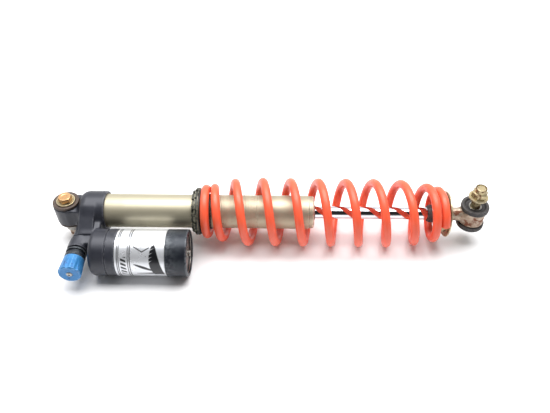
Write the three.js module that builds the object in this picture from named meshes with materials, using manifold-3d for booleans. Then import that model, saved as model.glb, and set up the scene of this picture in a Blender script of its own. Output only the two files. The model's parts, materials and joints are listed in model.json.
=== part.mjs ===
// Rear shock absorber with a piggyback reservoir, lying on its side.
// Millimetres, +Z up. The damper axis runs along X: the upper eye is at the low end, the lower eye
// at the high end, and both eyes' bolts stand along Z. The model is measured from the upper eye's
// centre; at the end it is moved so that its origin is at the middle of its underside.

import * as THREE from 'three';
import { mergeVertices } from 'three/addons/utils/BufferGeometryUtils.js';
import Module from 'manifold-3d';

const wasm = await Module();
wasm.setup();

// ---- Driving dimensions ----

const FIT = 0.3; // clearance kept between pieces that touch
const EYE_TO_EYE = 521;

const EYE_R = 17; // upper eye
const EYE_HALF = 13;
const EYE_BORE_R = 13.3;
const CAP_START = 28; // cap that holds the tube
const CAP_CROWN = 12; // the tube cap rounds over towards the eye this far
const CAP_LENGTH = 23.5;
const CAP_WALL = 3.2;
const SOCKET_DEPTH = 14;

const BORE_R = 19.05; // damper tube
const TUBE_WALL = 2.45;
const TUBE_LENGTH = 271.5;
const THREAD_RELIEF = 66.5; // from the tube's open end back to the end of its thread

const SHAFT_R = 8;
const STUD_R = 5; // piston stud at the shaft's inner end
const SHAFT_THREAD_R = 6; // thread in the lower eye's neck

const SEAL_HEAD_FLANGE = 7;
const SEAL_HEAD_DEPTH = 29;
const BUSHING_WALL = 1.7;
const BUSHING_LENGTH = 14;
const SEAL_WALL = 4;

const COLLAR_WIDTH = 5; // preload collar
const COLLAR_SPIGOT = 16;
const COLLAR_SPIGOT_WALL = 1;
const COLLAR_NOTCHES = 12;
const LOCK_RING = 3.4;
const LOCK_RING_STEP = 3.3; // its rim lies this far inside the collar's
const WASHER = 1.4;

const WIRE_R = 5.5; // coil spring
const SPRING_TURNS = 10.7;
const SPRING_BULGE = 9.4; // how much wider the middle coils are than the first, as a radius
const SPRING_LAST_WIDER = 0.3; // and the last coil
const COIL_CLEARANCE = 1; // between the end coils and the spigots that centre them

const SEAT_TO_EYE = 36; // lower spring seat's coil face to the lower eye's centre
const SEAT_FLANGE = 2;
const SEAT_SPIGOT = 10;
const SEAT_SPIGOT_WALL = 5;
const SEAT_WEB = 3;

const PISTON = 16;
const PISTON_GAP = 18; // seal head to piston, filled by the top-out bumper and shims
const PISTON_SHIMS = 4;
const PISTON_NUT = 8.2;
const PISTON_NUT_AF = 17;
const BUMP_STOP = 18;
const BUMP_STOP_WALL = 5;
const BUMP_CUP = 1.5;

const LOWER_EYE_R = 15.5;
const THREAD_TO_EYE = 2; // shaft's end to the eye's rim
const LOWER_EYE_HALF = 10.5;
const LOWER_BORE_R = 12.3;
const NECK_WALL = 2.2; // round the shaft's thread
const NECK_COLLAR = 3; // the neck's collar: its length, and how far it stands out round the shaft

const UPPER_BUSH_R = 16.4; // bush flanges
const UPPER_FLANGE = 3.7;
const LOWER_BUSH_R = 17.5;
const LOWER_FLANGE = 6.2;
const UPPER_SLEEVE_WALL = 2.7;
const LOWER_SLEEVE_WALL = 1.7;

const UPPER_BOLT_R = 5;
const UPPER_BOLT_AF = 15; // across flats
const UPPER_HEAD = 6;
const UPPER_WASHER_R = 11.6;
const UPPER_WASHER = 1.5;
const SPACER_R = 10;
const SPACER = 12;
const UPPER_NUT = 10.7;
const UPPER_BOLT_TAIL = 3.2; // thread that stands past the nut

const LOWER_BOLT_R = 6;
const LOWER_BOLT_AF = 17;
const LOWER_HEAD = 6.5;
const LOWER_GRIP = 13; // free height above the bush, where the bracket goes
const LOWER_NUT = 16;
const LOWER_NUT_FLANGE_R = 12;
const LOWER_NUT_AF = 17.5;

const BARREL_X = 23; // compression adjuster
const BARREL_R = 12.5;
const BARREL_LENGTH = 60;
const BARREL_DROP = 12; // its axis below the damper's
const BARREL_BARE = 22; // of it, past the block
const SLOPE_WIDTH = 17.5; // the block's sloping upper face
const BARREL_BORE_R = 9.6;
const BARREL_BORE_END = 22;
const OIL_PORT_R = 4;
const CARTRIDGE_DEPTH = 17;
const KNOB_GAP = 13.4; // casting to knob, filled by the cartridge's flange
const KNOB_LENGTH = 22.6;
const KNOB_R = 13.8;
const KNOB_NECK_R = 12.4;
const KNOB_FLUTES = 8;
const SCREW_KEY = 2.5; // across flats

const RES_GAP = 9.2; // reservoir to damper tube
const RES_HEAD_START = 42;
const RES_HEAD_LENGTH = 33;
const RES_BORE_R = 25.2;
const RES_TUBE_WALL = 2.8;
const RES_SPIGOT_STEP = 1.1; // the tube's ends are thinner by this, where they enter head and cap
const RES_SPIGOT = 13;
const RES_SLEEVE_LENGTH = 60;
const RES_SLEEVE_WALL = 0.4;
const RES_CAP_WALL = 2.1;
const END_CAP_LENGTH = 26;
const END_CAP_RECESS = 4;
const PLUG = 13;
const FLOATING_PISTON = 18;
const FLOATING_PISTON_START = 11; // past the reservoir head
const RESERVOIR_TO_LOCK_RING = 0.3;

const RING_R = 0.9; // O-ring section
const RING_GROOVE = 2.5;
const ROUND = 20; // facets round large, medium and small turned pieces
const MEDIUM = 16;
const SMALL = 12;

// ---- Sizes and places worked out from those above ----

const TUBE_R = BORE_R + TUBE_WALL;
const CAP_R = TUBE_R + FIT + CAP_WALL;
const SEAL_POCKET_R = SHAFT_R + FIT + SEAL_WALL;
const BUMP_STOP_R = SHAFT_R + BUMP_STOP_WALL;
const NECK_R = SHAFT_THREAD_R + FIT + NECK_WALL;
const NECK_COLLAR_R = SHAFT_R + NECK_COLLAR;
const UPPER_SLEEVE_R = UPPER_BOLT_R + FIT + UPPER_SLEEVE_WALL;
const LOWER_SLEEVE_R = LOWER_BOLT_R + FIT + LOWER_SLEEVE_WALL;
const RES_TUBE_R = RES_BORE_R + RES_TUBE_WALL;
const RES_SPIGOT_R = RES_TUBE_R - RES_SPIGOT_STEP;
const RES_HEAD_R = RES_SPIGOT_R + RES_CAP_WALL;
const END_CAP_R = RES_HEAD_R + FIT;
const BRIDGE_OFFSET = TUBE_R + RES_GAP + END_CAP_R; // reservoir axis to damper axis

const CAP_END = CAP_START + CAP_LENGTH;
const TUBE_START = CAP_END - SOCKET_DEPTH;
const TUBE_END = TUBE_START + TUBE_LENGTH;
const SEAL_HEAD_START = TUBE_END - SEAL_HEAD_DEPTH;
const SEAL_HEAD_END = TUBE_END + SEAL_HEAD_FLANGE;
const PISTON_END = SEAL_HEAD_START - PISTON_GAP;
const PISTON_START = PISTON_END - PISTON;
const SHAFT_SHOULDER = PISTON_END + 3;
const KNOB_START = BARREL_LENGTH + KNOB_GAP;
const RES_SLEEVE_START = RES_HEAD_START + RES_HEAD_LENGTH;
const END_CAP_START = RES_SLEEVE_START + RES_SLEEVE_LENGTH;
const END_CAP_END = END_CAP_START + END_CAP_LENGTH;
const RES_TUBE_START = RES_SLEEVE_START - RES_SPIGOT;
const RES_TUBE_END = END_CAP_START + RES_SPIGOT + 2;
const PLUG_END = END_CAP_END - END_CAP_RECESS;
const SEAT_FACE = EYE_TO_EYE - SEAT_TO_EYE;
const WEB_START = SEAT_FACE - SEAT_WEB;
const LOCK_RING_START = END_CAP_END + RESERVOIR_TO_LOCK_RING;
const COLLAR_START = LOCK_RING_START + LOCK_RING + FIT;
const COLLAR_END = COLLAR_START + COLLAR_WIDTH;

const COLLAR_SPIGOT_R = TUBE_R + FIT + COLLAR_SPIGOT_WALL;
const SPRING_START = COLLAR_END + 2 * FIT + WASHER;
const SPRING_END = SEAT_FACE - FIT;
const SPRING_FIRST_R = COLLAR_SPIGOT_R + COIL_CLEARANCE + WIRE_R; // mean radii
const SPRING_MID_R = SPRING_FIRST_R + SPRING_BULGE;
const SPRING_LAST_R = SPRING_FIRST_R + SPRING_LAST_WIDER;
const COLLAR_R = SPRING_FIRST_R + 1.2;
// the bridge leans until the reservoir's end cap touches the same floor as the spring
const BRIDGE_TILT = Math.asin((SPRING_MID_R + WIRE_R - END_CAP_R) / BRIDGE_OFFSET);

// ---- Finishes ----

const FINISHES = {
  blackCasting: { color: 0x34363e, metalness: 0.5, roughness: 0.5 },
  hardAnodised: { color: 0xb9b199, metalness: 0.8, roughness: 0.35 },
  blackAnodised: { color: 0x2a2c30, metalness: 0.6, roughness: 0.4 },
  darkCollar: { color: 0x3c3d34, metalness: 0.6, roughness: 0.5 },
  powderCoat: { color: 0xf0654b, metalness: 0, roughness: 0.4 },
  chrome: { color: 0xd8d8dc, metalness: 1, roughness: 0.08 },
  zincYellow: { color: 0xc9b48a, metalness: 0.9, roughness: 0.4 },
  rustyZinc: { color: 0x8a6a4c, metalness: 0.6, roughness: 0.6 },
  steel: { color: 0x9a9a98, metalness: 1, roughness: 0.35 },
  bronze: { color: 0xa5803f, metalness: 1, roughness: 0.4 },
  blackRubber: { color: 0x2c2a2a, metalness: 0, roughness: 0.75 },
  brownBush: { color: 0x4a3c38, metalness: 0, roughness: 0.6 },
  ptfe: { color: 0xe6e2d8, metalness: 0, roughness: 0.5 },
  polymer: { color: 0x3a3d3a, metalness: 0, roughness: 0.5 },
  silverPrint: { color: 0xe4e6ea, metalness: 0.2, roughness: 0.35 },
  greyAnodised: { color: 0x80787a, metalness: 0.7, roughness: 0.4 },
  blueAnodised: { color: 0x4a8fc8, metalness: 0.6, roughness: 0.35 },
};

function piece(name, finish, geometry) {
  const mesh = new THREE.Mesh(geometry, new THREE.MeshStandardMaterial(FINISHES[finish]));
  mesh.name = name;
  return mesh;
}

function assembly(...pieces) {
  const group = new THREE.Group();
  group.add(...pieces);
  return group;
}

// ---- Turned shapes: a profile is [along the axis, radius] points, walked with the metal on the left ----

function turned(profile, segments) {
  const points = profile.map(([along, radius]) => new THREE.Vector2(radius, along));
  return new THREE.LatheGeometry(points, segments);
}

const aboutX = (profile, segments = ROUND) => turned(profile, segments).rotateZ(-Math.PI / 2);
const aboutZ = (profile, segments = MEDIUM) => turned(profile, segments).rotateX(Math.PI / 2);
const aboutMinusY = (profile, segments = MEDIUM) => turned(profile, segments).rotateX(Math.PI);

const disc = (start, end, radius) => [[start, 0], [start, radius], [end, radius], [end, 0]];

const ring = (start, end, inner, outer) => [
  [start, inner], [start, outer], [end, outer], [end, inner], [start, inner],
];

// An O-ring: a four-sided section at a mean radius.
function oRing(along, meanR, sectionR = RING_R) {
  const corners = 4;
  const profile = [];
  for (let i = 0; i <= corners; i += 1) {
    const turn = (i % corners) / corners * 2 * Math.PI;
    profile.push([along - sectionR * Math.cos(turn), meanR + sectionR * Math.sin(turn)]);
  }
  return profile;
}

function hexagon(acrossFlats) {
  const shape = new THREE.Shape();
  const cornerR = acrossFlats / Math.sqrt(3);
  for (let i = 0; i < 6; i += 1) {
    const turn = (i / 6) * 2 * Math.PI;
    const place = [cornerR * Math.cos(turn), cornerR * Math.sin(turn)];
    if (i === 0) shape.moveTo(...place);
    else shape.lineTo(...place);
  }
  shape.closePath();
  return shape;
}

function hexPrism(start, end, acrossFlats) {
  const options = { depth: end - start, bevelEnabled: false };
  return new THREE.ExtrudeGeometry(hexagon(acrossFlats), options).translate(0, 0, start);
}

// A box from its low corner to its high corner.
function block(low, high) {
  const size = high.map((value, i) => value - low[i]);
  const centre = high.map((value, i) => (value + low[i]) / 2);
  return new THREE.BoxGeometry(...size).translate(...centre);
}

// ---- Joining and cutting ----

function solidOf(geometry) {
  const bare = geometry.clone();
  bare.deleteAttribute('normal');
  bare.deleteAttribute('uv');
  const merged = mergeVertices(bare, 1e-4);
  const corners = merged.index.array;
  const triVerts = [];
  for (let i = 0; i < corners.length; i += 3) {
    const [a, b, c] = corners.slice(i, i + 3);
    if (a !== b && b !== c && c !== a) triVerts.push(a, b, c); // a pole closes some to a line
  }
  return new wasm.Manifold(new wasm.Mesh({
    numProp: 3,
    vertProperties: merged.attributes.position.array,
    triVerts: new Uint32Array(triVerts),
  }));
}

function geometryOf(solid) {
  const mesh = solid.getMesh();
  const geometry = new THREE.BufferGeometry();
  geometry.setAttribute('position', new THREE.BufferAttribute(mesh.vertProperties, 3));
  geometry.setIndex(new THREE.BufferAttribute(mesh.triVerts, 1));
  return geometry;
}

function joined(...geometries) {
  return geometryOf(geometries.map(solidOf).reduce((all, next) => all.add(next)));
}

function cut(geometry, ...cutters) {
  return geometryOf(cutters.map(solidOf).reduce((rest, next) => rest.subtract(next), solidOf(geometry)));
}

function common(first, second) {
  return geometryOf(solidOf(first).intersect(solidOf(second)));
}

// ---- Damper body ----

// The one casting: eye, neck, tube cap, bridge block, adjuster barrel and reservoir head.
function headCasting() {
  const past = 1; // cutters run this far past the face they open
  const chamfer = 1.5;
  const shoulder = 6; // the reservoir head rounds over this far
  const shave = 0.5; // the neck and block stop this short of the faces beside them
  const shoulderOf = (start, radius, reach) => [
    [start, 0], [start, radius - reach], [start + reach / 8, radius - reach / 2],
    [start + reach / 2, radius - reach / 8], [start + reach, radius],
  ];
  const eye = aboutZ([
    [-EYE_HALF, 0], [-EYE_HALF, EYE_R - chamfer], [-EYE_HALF + chamfer, EYE_R],
    [EYE_HALF - chamfer, EYE_R], [EYE_HALF, EYE_R - chamfer], [EYE_HALF, 0],
  ], ROUND);
  const neckHalf = EYE_R - shave;
  const neck = block([0, -neckHalf, shave - EYE_HALF], [CAP_START + shoulder, neckHalf, EYE_HALF - shave]);
  const crownStart = CAP_START + 1 - CAP_CROWN;
  const cap = aboutX([...shoulderOf(crownStart, CAP_R, CAP_CROWN), [CAP_END, CAP_R], [CAP_END, 0]]);
  const blockStart = BARREL_X - 9;
  const blockEnd = RES_HEAD_START + 4;
  const blockHalf = BARREL_R + shave;
  const webHalf = BARREL_R - 2 * shave;
  const barrelStep = BARREL_LENGTH - BARREL_BARE;
  const upperBlock = block([blockStart, -barrelStep, -blockHalf], [blockEnd, -SHAFT_R, blockHalf]);
  // the block's upper face slopes from the cap's crown down to the barrel
  const slopeSide = new THREE.Shape([
    new THREE.Vector2(0, -blockHalf), new THREE.Vector2(0, CAP_R - 4),
    new THREE.Vector2(-14, CAP_R - 4), new THREE.Vector2(-barrelStep - 5, BARREL_R - BARREL_DROP),
    new THREE.Vector2(-barrelStep - 5, -blockHalf),
  ]);
  const alongX = new THREE.Matrix4().makeBasis(
    new THREE.Vector3(0, 1, 0), new THREE.Vector3(0, 0, 1), new THREE.Vector3(1, 0, 0),
  );
  const slope = new THREE.ExtrudeGeometry(slopeSide, { depth: SLOPE_WIDTH, bevelEnabled: false })
    .applyMatrix4(alongX).translate(BARREL_X, 0, 0);
  const web = block([BARREL_X, 5 - BARREL_LENGTH, -webHalf], [blockEnd, 1 - barrelStep, webHalf]);
  const barrel = aboutMinusY([
    [0, 0], [0, BARREL_R], [BARREL_LENGTH - 1, BARREL_R],
    [BARREL_LENGTH, BARREL_R - 1], [BARREL_LENGTH, 0],
  ], ROUND).translate(BARREL_X, 0, -BARREL_DROP);
  const resHead = aboutX([
    ...shoulderOf(RES_HEAD_START, RES_HEAD_R, shoulder), [RES_SLEEVE_START, RES_HEAD_R],
    [RES_SLEEVE_START, 0],
  ]).translate(0, -BRIDGE_OFFSET, 0);

  const chamberR = RES_BORE_R - 1;
  const chamberDepth = 4;
  const eyeBore = aboutZ(disc(-EYE_HALF - past, EYE_HALF + past, EYE_BORE_R), ROUND);
  const spotFaceR = UPPER_BUSH_R + 2 * FIT;
  const spotFaceDepth = 2 * UPPER_FLANGE;
  const upperSpot = aboutZ(disc(EYE_HALF, EYE_HALF + spotFaceDepth, spotFaceR), ROUND);
  const lowerSpot = aboutZ(disc(-EYE_HALF - spotFaceDepth, -EYE_HALF, spotFaceR), ROUND);
  const socket = aboutX(disc(TUBE_START - FIT, CAP_END + past, TUBE_R + FIT));
  const tubePort = aboutX(disc(BARREL_X, TUBE_START, OIL_PORT_R), SMALL);
  const barrelBore = aboutMinusY(disc(BARREL_BORE_END, BARREL_LENGTH + past, BARREL_BORE_R));
  const barrelPort = aboutMinusY(disc(0, BARREL_BORE_END + past, OIL_PORT_R), SMALL);
  const resPortY = -(BARREL_BORE_END + BARREL_LENGTH) / 2 - OIL_PORT_R;
  const resPort = aboutX(disc(BARREL_X, RES_TUBE_START, OIL_PORT_R), SMALL).translate(0, resPortY, 0);
  const resSocket = aboutX(disc(RES_TUBE_START - FIT, RES_SLEEVE_START + past, RES_SPIGOT_R + FIT));
  const resChamber = aboutX(disc(RES_TUBE_START - chamberDepth, RES_TUBE_START, chamberR));

  const leaning = [upperBlock, web, resHead];
  const leaningCuts = [
    barrelPort.translate(BARREL_X, 0, 0), resPort,
    resSocket.translate(0, -BRIDGE_OFFSET, 0), resChamber.translate(0, -BRIDGE_OFFSET, 0),
  ];
  [...leaning, ...leaningCuts].forEach((geometry) => geometry.rotateX(BRIDGE_TILT));
  const whole = joined(eye, neck, cap, slope, barrel, ...leaning);
  const straightCuts = [
    eyeBore, upperSpot, lowerSpot, socket, tubePort, barrelBore.translate(BARREL_X, 0, -BARREL_DROP),
  ];
  return piece('head_casting', 'blackCasting', cut(whole, ...straightCuts, ...leaningCuts));
}

function damperTube() {
  const groove = TUBE_START + 5;
  const relief = TUBE_END - THREAD_RELIEF;
  const reliefWidth = 2;
  const reliefDepth = 0.4;
  const grooveR = TUBE_R - 2 * RING_R;
  const tube = aboutX([
    [TUBE_START, BORE_R], [TUBE_START, TUBE_R],
    [groove, TUBE_R], [groove, grooveR], [groove + RING_GROOVE, grooveR], [groove + RING_GROOVE, TUBE_R],
    [relief, TUBE_R], [relief, TUBE_R - reliefDepth], [relief + reliefWidth, TUBE_R - reliefDepth],
    [relief + reliefWidth, TUBE_R], [TUBE_END, TUBE_R], [TUBE_END, BORE_R], [TUBE_START, BORE_R],
  ]);
  const sealR = grooveR + FIT + RING_R;
  return [
    piece('body_tube', 'hardAnodised', tube),
    piece('tube_oring', 'blackRubber', aboutX(oRing(groove + RING_GROOVE / 2, sealR, RING_R - FIT / 3))),
  ];
}

function sealHead() {
  const outerR = BORE_R - FIT;
  const flangeR = TUBE_R - 0.8;
  const shaftHoleR = SHAFT_R + 2 * FIT;
  const pocketGap = 2; // metal between the bushing, seal and wiper pockets
  const sealWidth = 6.5;
  const bushStart = SEAL_HEAD_START + pocketGap + 1;
  const bushEnd = bushStart + BUSHING_LENGTH;
  const bushR = SHAFT_R + FIT + BUSHING_WALL;
  const sealStart = bushEnd + pocketGap;
  const sealEnd = sealStart + sealWidth;
  const wiperStart = sealEnd + pocketGap + 1;
  const groove = SEAL_HEAD_START + 8;
  const grooveR = outerR - 2 * RING_R;
  const chamfer = 1.5;
  const flangeStart = TUBE_END + FIT;
  const head = aboutX([
    [SEAL_HEAD_START, shaftHoleR], [SEAL_HEAD_START, outerR],
    [groove, outerR], [groove, grooveR], [groove + RING_GROOVE, grooveR], [groove + RING_GROOVE, outerR],
    [flangeStart, outerR], [flangeStart, flangeR],
    [SEAL_HEAD_END - chamfer, flangeR], [SEAL_HEAD_END, flangeR - chamfer],
    [SEAL_HEAD_END, SEAL_POCKET_R], [wiperStart, SEAL_POCKET_R], [wiperStart, shaftHoleR],
    [sealEnd, shaftHoleR], [sealEnd, SEAL_POCKET_R], [sealStart, SEAL_POCKET_R], [sealStart, shaftHoleR],
    [bushEnd, shaftHoleR], [bushEnd, bushR + FIT], [bushStart, bushR + FIT], [bushStart, shaftHoleR],
    [SEAL_HEAD_START, shaftHoleR],
  ]);
  const lipR = SHAFT_R + FIT;
  const packingR = SEAL_POCKET_R - FIT;
  const lipWidth = 2;
  const heelR = lipR + 2 * FIT;
  const wiperEnd = SEAL_HEAD_END + 1.5;
  const seal = aboutX([
    [sealStart + FIT, heelR], [sealStart + FIT, packingR], [sealEnd - FIT, packingR],
    [sealEnd - FIT, lipR], [sealEnd - lipWidth, lipR], [sealStart + FIT, heelR],
  ], MEDIUM);
  const wiper = aboutX([
    [wiperStart + FIT, heelR], [wiperStart + FIT, packingR], [SEAL_HEAD_END, packingR],
    [wiperEnd, lipR + 1], [wiperEnd, lipR], [wiperStart + FIT, heelR],
  ], MEDIUM);
  const oring = oRing(groove + RING_GROOVE / 2, grooveR + RING_R, RING_R - FIT / 3);
  const bushing = ring(bushStart + FIT, bushEnd - FIT, lipR, bushR);
  return [
    piece('seal_head', 'hardAnodised', head),
    piece('seal_head_oring', 'blackRubber', aboutX(oring)),
    piece('shaft_bushing', 'bronze', aboutX(bushing, MEDIUM)),
    piece('shaft_seal', 'blackRubber', seal),
    piece('dust_wiper', 'blackRubber', wiper),
  ];
}

// ---- Spring set ----

function smoothstep(low, high, value) {
  const t = THREE.MathUtils.clamp((value - low) / (high - low), 0, 1);
  return t * t * (3 - 2 * t);
}

// The integral of smoothstep from its low edge, in units of its width.
function smoothstepArea(low, high, value) {
  const width = high - low;
  const t = THREE.MathUtils.clamp((value - low) / width, 0, 1);
  return width * (t ** 3 - t ** 4 / 2) + Math.max(value - high, 0);
}

// Centre line of the wire: closed end coils, an even pitch between them, and a barrel outline.
class SpringLine extends THREE.Curve {
  constructor() {
    super();
    this.arcLengthDivisions = 3000;
    this.first = -0.3; // turns, counted from where the wire leaves the ground face
    this.last = SPRING_TURNS + this.first;
    this.closedPitch = 2 * WIRE_R + FIT;
    const travel = SPRING_END - SPRING_START - 2 * WIRE_R;
    const closedTravel = this.closedPitch * this.last;
    this.openExtra = (travel - closedTravel) / this.openTurns(this.last);
  }

  openTurns(turns) {
    const [opens, opened] = [0.8, 1.9];
    const [closes, closed] = [this.last - 1.8, this.last - 0.8];
    const opening = smoothstepArea(opens, opened, turns);
    const closing = smoothstepArea(closes, closed, turns);
    return opening - closing;
  }

  getPoint(share, target = new THREE.Vector3()) {
    const turns = this.first + share * SPRING_TURNS;
    const x = SPRING_START + WIRE_R + this.closedPitch * turns + this.openExtra * this.openTurns(turns);
    const [widens, wide] = [0.6, 2.5];
    const narrows = this.last - 2.9;
    const leaving = smoothstep(widens, wide, turns);
    const arriving = smoothstep(narrows, this.last, turns);
    const radius = SPRING_FIRST_R + (SPRING_MID_R - SPRING_FIRST_R) * leaving
      + (SPRING_LAST_R - SPRING_MID_R) * arriving;
    const turn = Math.PI / 4 + 2 * Math.PI * turns;
    return target.set(x, radius * Math.cos(turn), radius * Math.sin(turn));
  }
}

function coilSpring() {
  const sides = 8;
  const stepsPerTurn = 15;
  const section = new THREE.Shape().absarc(0, 0, WIRE_R, 0, 2 * Math.PI);
  const options = {
    curveSegments: sides / 2, // three.js cuts a full circle into twice this
    steps: Math.round(stepsPerTurn * SPRING_TURNS),
    bevelEnabled: false,
    extrudePath: new SpringLine(),
  };
  const wire = new THREE.ExtrudeGeometry(section, options);
  const outside = SPRING_MID_R + 2 * WIRE_R;
  const groundEnds = aboutX(disc(SPRING_START, SPRING_END, outside));
  return piece('coil_spring', 'powderCoat', common(wire, groundEnds));
}

// Cutters for the spanner notches round a rim.
function notchCutters(start, end, rimR) {
  const depth = 2.5;
  const halfWidth = 2.5;
  const overhang = 1;
  return Array.from({ length: COLLAR_NOTCHES }, (_, i) => {
    const notch = block([start, rimR - depth, -halfWidth], [end, rimR + overhang, halfWidth]);
    return notch.rotateX(((i + 0.5) / COLLAR_NOTCHES) * 2 * Math.PI);
  });
}

function preloadCollar() {
  const past = 1;
  const step = 2;
  const mouthR = TUBE_R + FIT;
  const spigotR = COLLAR_SPIGOT_R;
  const spigotEnd = COLLAR_END + COLLAR_SPIGOT;
  const body = aboutX([
    [COLLAR_START, mouthR], [COLLAR_START, COLLAR_R - 1], [COLLAR_START + step, COLLAR_R - 1],
    [COLLAR_START + step, COLLAR_R], [COLLAR_END, COLLAR_R],
    [COLLAR_END, spigotR], [spigotEnd, spigotR], [spigotEnd, mouthR], [COLLAR_START, mouthR],
  ]);
  const notches = notchCutters(COLLAR_START - past, COLLAR_START + step + past, COLLAR_R);
  const screwX = COLLAR_START + COLLAR_WIDTH * 0.54;
  const screwR = 1.5;
  const screwSunk = 2.5;
  const hole = aboutZ(disc(mouthR - past, COLLAR_R + past, screwR + FIT), SMALL);
  const screw = aboutZ(disc(mouthR + FIT, COLLAR_R - screwSunk, screwR), SMALL);
  [hole, screw].forEach((geometry) => geometry.translate(screwX, 0, 0));
  const washer = ring(COLLAR_END + FIT, COLLAR_END + FIT + WASHER, spigotR + FIT, COLLAR_R - 1);
  const lockR = COLLAR_R - LOCK_RING_STEP;
  const lockEnd = LOCK_RING_START + LOCK_RING;
  const lockRing = aboutX(ring(LOCK_RING_START, lockEnd, mouthR, lockR));
  const lockNotches = notchCutters(LOCK_RING_START - past, lockEnd + past, lockR);
  return [
    piece('preload_collar', 'darkCollar', cut(body, ...notches, hole)),
    piece('lock_ring', 'darkCollar', cut(lockRing, ...lockNotches)),
    piece('collar_set_screw', 'steel', screw),
    piece('slip_washer', 'polymer', aboutX(washer)),
  ];
}

function springRetainer() {
  const spigotR = SPRING_LAST_R - WIRE_R - COIL_CLEARANCE;
  const seatR = SPRING_LAST_R;
  const hollowR = spigotR - SEAT_SPIGOT_WALL;
  const spigotStart = SEAT_FACE - SEAT_SPIGOT;
  const seatBack = SEAT_FACE + SEAT_FLANGE;
  const shaftHoleR = SHAFT_R + 2 * FIT;
  const neckHoleR = NECK_COLLAR_R + FIT;
  return piece('spring_retainer', 'zincYellow', aboutX([
    [WEB_START, shaftHoleR], [WEB_START, hollowR], [spigotStart, hollowR],
    [spigotStart, spigotR - 1], [spigotStart + 1, spigotR], [SEAT_FACE, spigotR],
    [SEAT_FACE, seatR], [seatBack, seatR], [seatBack, neckHoleR], [SEAT_FACE, neckHoleR],
    [SEAT_FACE, shaftHoleR], [WEB_START, shaftHoleR],
  ]));
}

// ---- Rod set ----

function pistonSet() {
  const bandStart = PISTON_START + 3;
  const bandEnd = PISTON_END - 3;
  const pistonR = BORE_R - 0.8;
  const bandR = BORE_R - 0.25;
  const bandBed = bandR - 1.5;
  const holeR = STUD_R + FIT;
  const piston = aboutX([
    [PISTON_START, holeR], [PISTON_START, pistonR - 1], [PISTON_START + 1, pistonR],
    [bandStart, pistonR], [bandStart, bandBed - FIT], [bandEnd, bandBed - FIT], [bandEnd, pistonR],
    [PISTON_END - 1, pistonR], [PISTON_END, pistonR - 1], [PISTON_END, holeR], [PISTON_START, holeR],
  ]);
  const stack = (start, end, firstR, lastR) => {
    const middle = (start + end) / 2;
    return aboutX([
      [start, holeR], [start, firstR], [middle, firstR], [middle, lastR], [end, lastR], [end, holeR],
      [start, holeR],
    ], MEDIUM);
  };
  const wideR = pistonR - 4;
  const rebound = stack(PISTON_START - FIT - PISTON_SHIMS, PISTON_START - FIT, pistonR - 8, wideR);
  const compression = stack(PISTON_END + FIT, SHAFT_SHOULDER - FIT, wideR, SHAFT_R + 1);
  const nutEnd = PISTON_START - 2 * FIT - PISTON_SHIMS;
  const nutStart = nutEnd - PISTON_NUT;
  const nut = hexPrism(nutStart, nutEnd, PISTON_NUT_AF).rotateY(Math.PI / 2);
  const nutHole = aboutX(disc(nutStart - 1, nutEnd + 1, holeR), SMALL);
  const bumper = ring(SHAFT_SHOULDER + 1, SEAL_HEAD_START - FIT, SHAFT_R + FIT, BUMP_STOP_R - 1);
  return [
    piece('main_piston', 'steel', piston),
    piece('piston_band', 'ptfe', aboutX(ring(bandStart + FIT, bandEnd - FIT, bandBed, bandR))),
    piece('rebound_shims', 'steel', rebound),
    piece('compression_shims', 'steel', compression),
    piece('piston_nut', 'steel', cut(nut, nutHole)),
    piece('top_out_bumper', 'polymer', aboutX(bumper, MEDIUM)),
  ];
}

function shaft() {
  const studStart = PISTON_START - PISTON_SHIMS - PISTON_NUT - 4;
  const end = SEAT_FACE - FIT;
  const threadEnd = EYE_TO_EYE - LOWER_EYE_R - THREAD_TO_EYE;
  const profile = [
    [studStart, 0], [studStart, STUD_R - 1], [studStart + 1, STUD_R], [SHAFT_SHOULDER, STUD_R],
    [SHAFT_SHOULDER, SHAFT_R], [end, SHAFT_R], [end, SHAFT_THREAD_R],
    [threadEnd - 1, SHAFT_THREAD_R], [threadEnd, SHAFT_THREAD_R - 1], [threadEnd, 0],
  ];
  const stopEnd = WEB_START - 2 * FIT - BUMP_CUP;
  const stopStart = stopEnd - BUMP_STOP;
  const stop = [
    [stopStart, SHAFT_R + FIT], [stopStart, BUMP_STOP_R - 3], [stopStart + BUMP_STOP / 4, BUMP_STOP_R - 1],
    [stopStart + BUMP_STOP / 2, BUMP_STOP_R - 2], [stopEnd - BUMP_STOP / 3, BUMP_STOP_R],
    [stopEnd, BUMP_STOP_R], [stopEnd, SHAFT_R + FIT], [stopStart, SHAFT_R + FIT],
  ];
  const cup = ring(stopEnd + FIT, stopEnd + FIT + BUMP_CUP, SHAFT_R + FIT, BUMP_STOP_R + 2);
  return [
    piece('damper_shaft', 'chrome', aboutX(profile)),
    piece('bump_stop', 'blackRubber', aboutX(stop, MEDIUM)),
    piece('bump_stop_cup', 'steel', aboutX(cup, MEDIUM)),
  ];
}

// ---- Eyes ----

// A half bush with its flange at the high end, about Z; the dish's floor is cut into the flange.
function halfBush(boreR, barrelEnd, flangeR, flange, floorR, dishDepth, sleeveR) {
  const barrelR = boreR - FIT;
  const holeR = sleeveR + FIT;
  const flangeStart = barrelEnd + FIT;
  const top = flangeStart + flange;
  return [
    [FIT / 2, holeR], [FIT / 2, barrelR], [flangeStart, barrelR],
    [flangeStart, flangeR], [top - 1, flangeR], [top, flangeR - 1], [top, floorR + 1],
    [top - dishDepth, floorR], [top - dishDepth, holeR], [FIT / 2, holeR],
  ];
}

// A turned piece about Z, and the same piece turned over.
function pair(names, finish, profile, segments) {
  const upper = piece(names[0], finish, aboutZ(profile, segments));
  const lower = piece(names[1], finish, aboutZ(profile, segments).rotateX(Math.PI));
  return [upper, lower];
}

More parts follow.
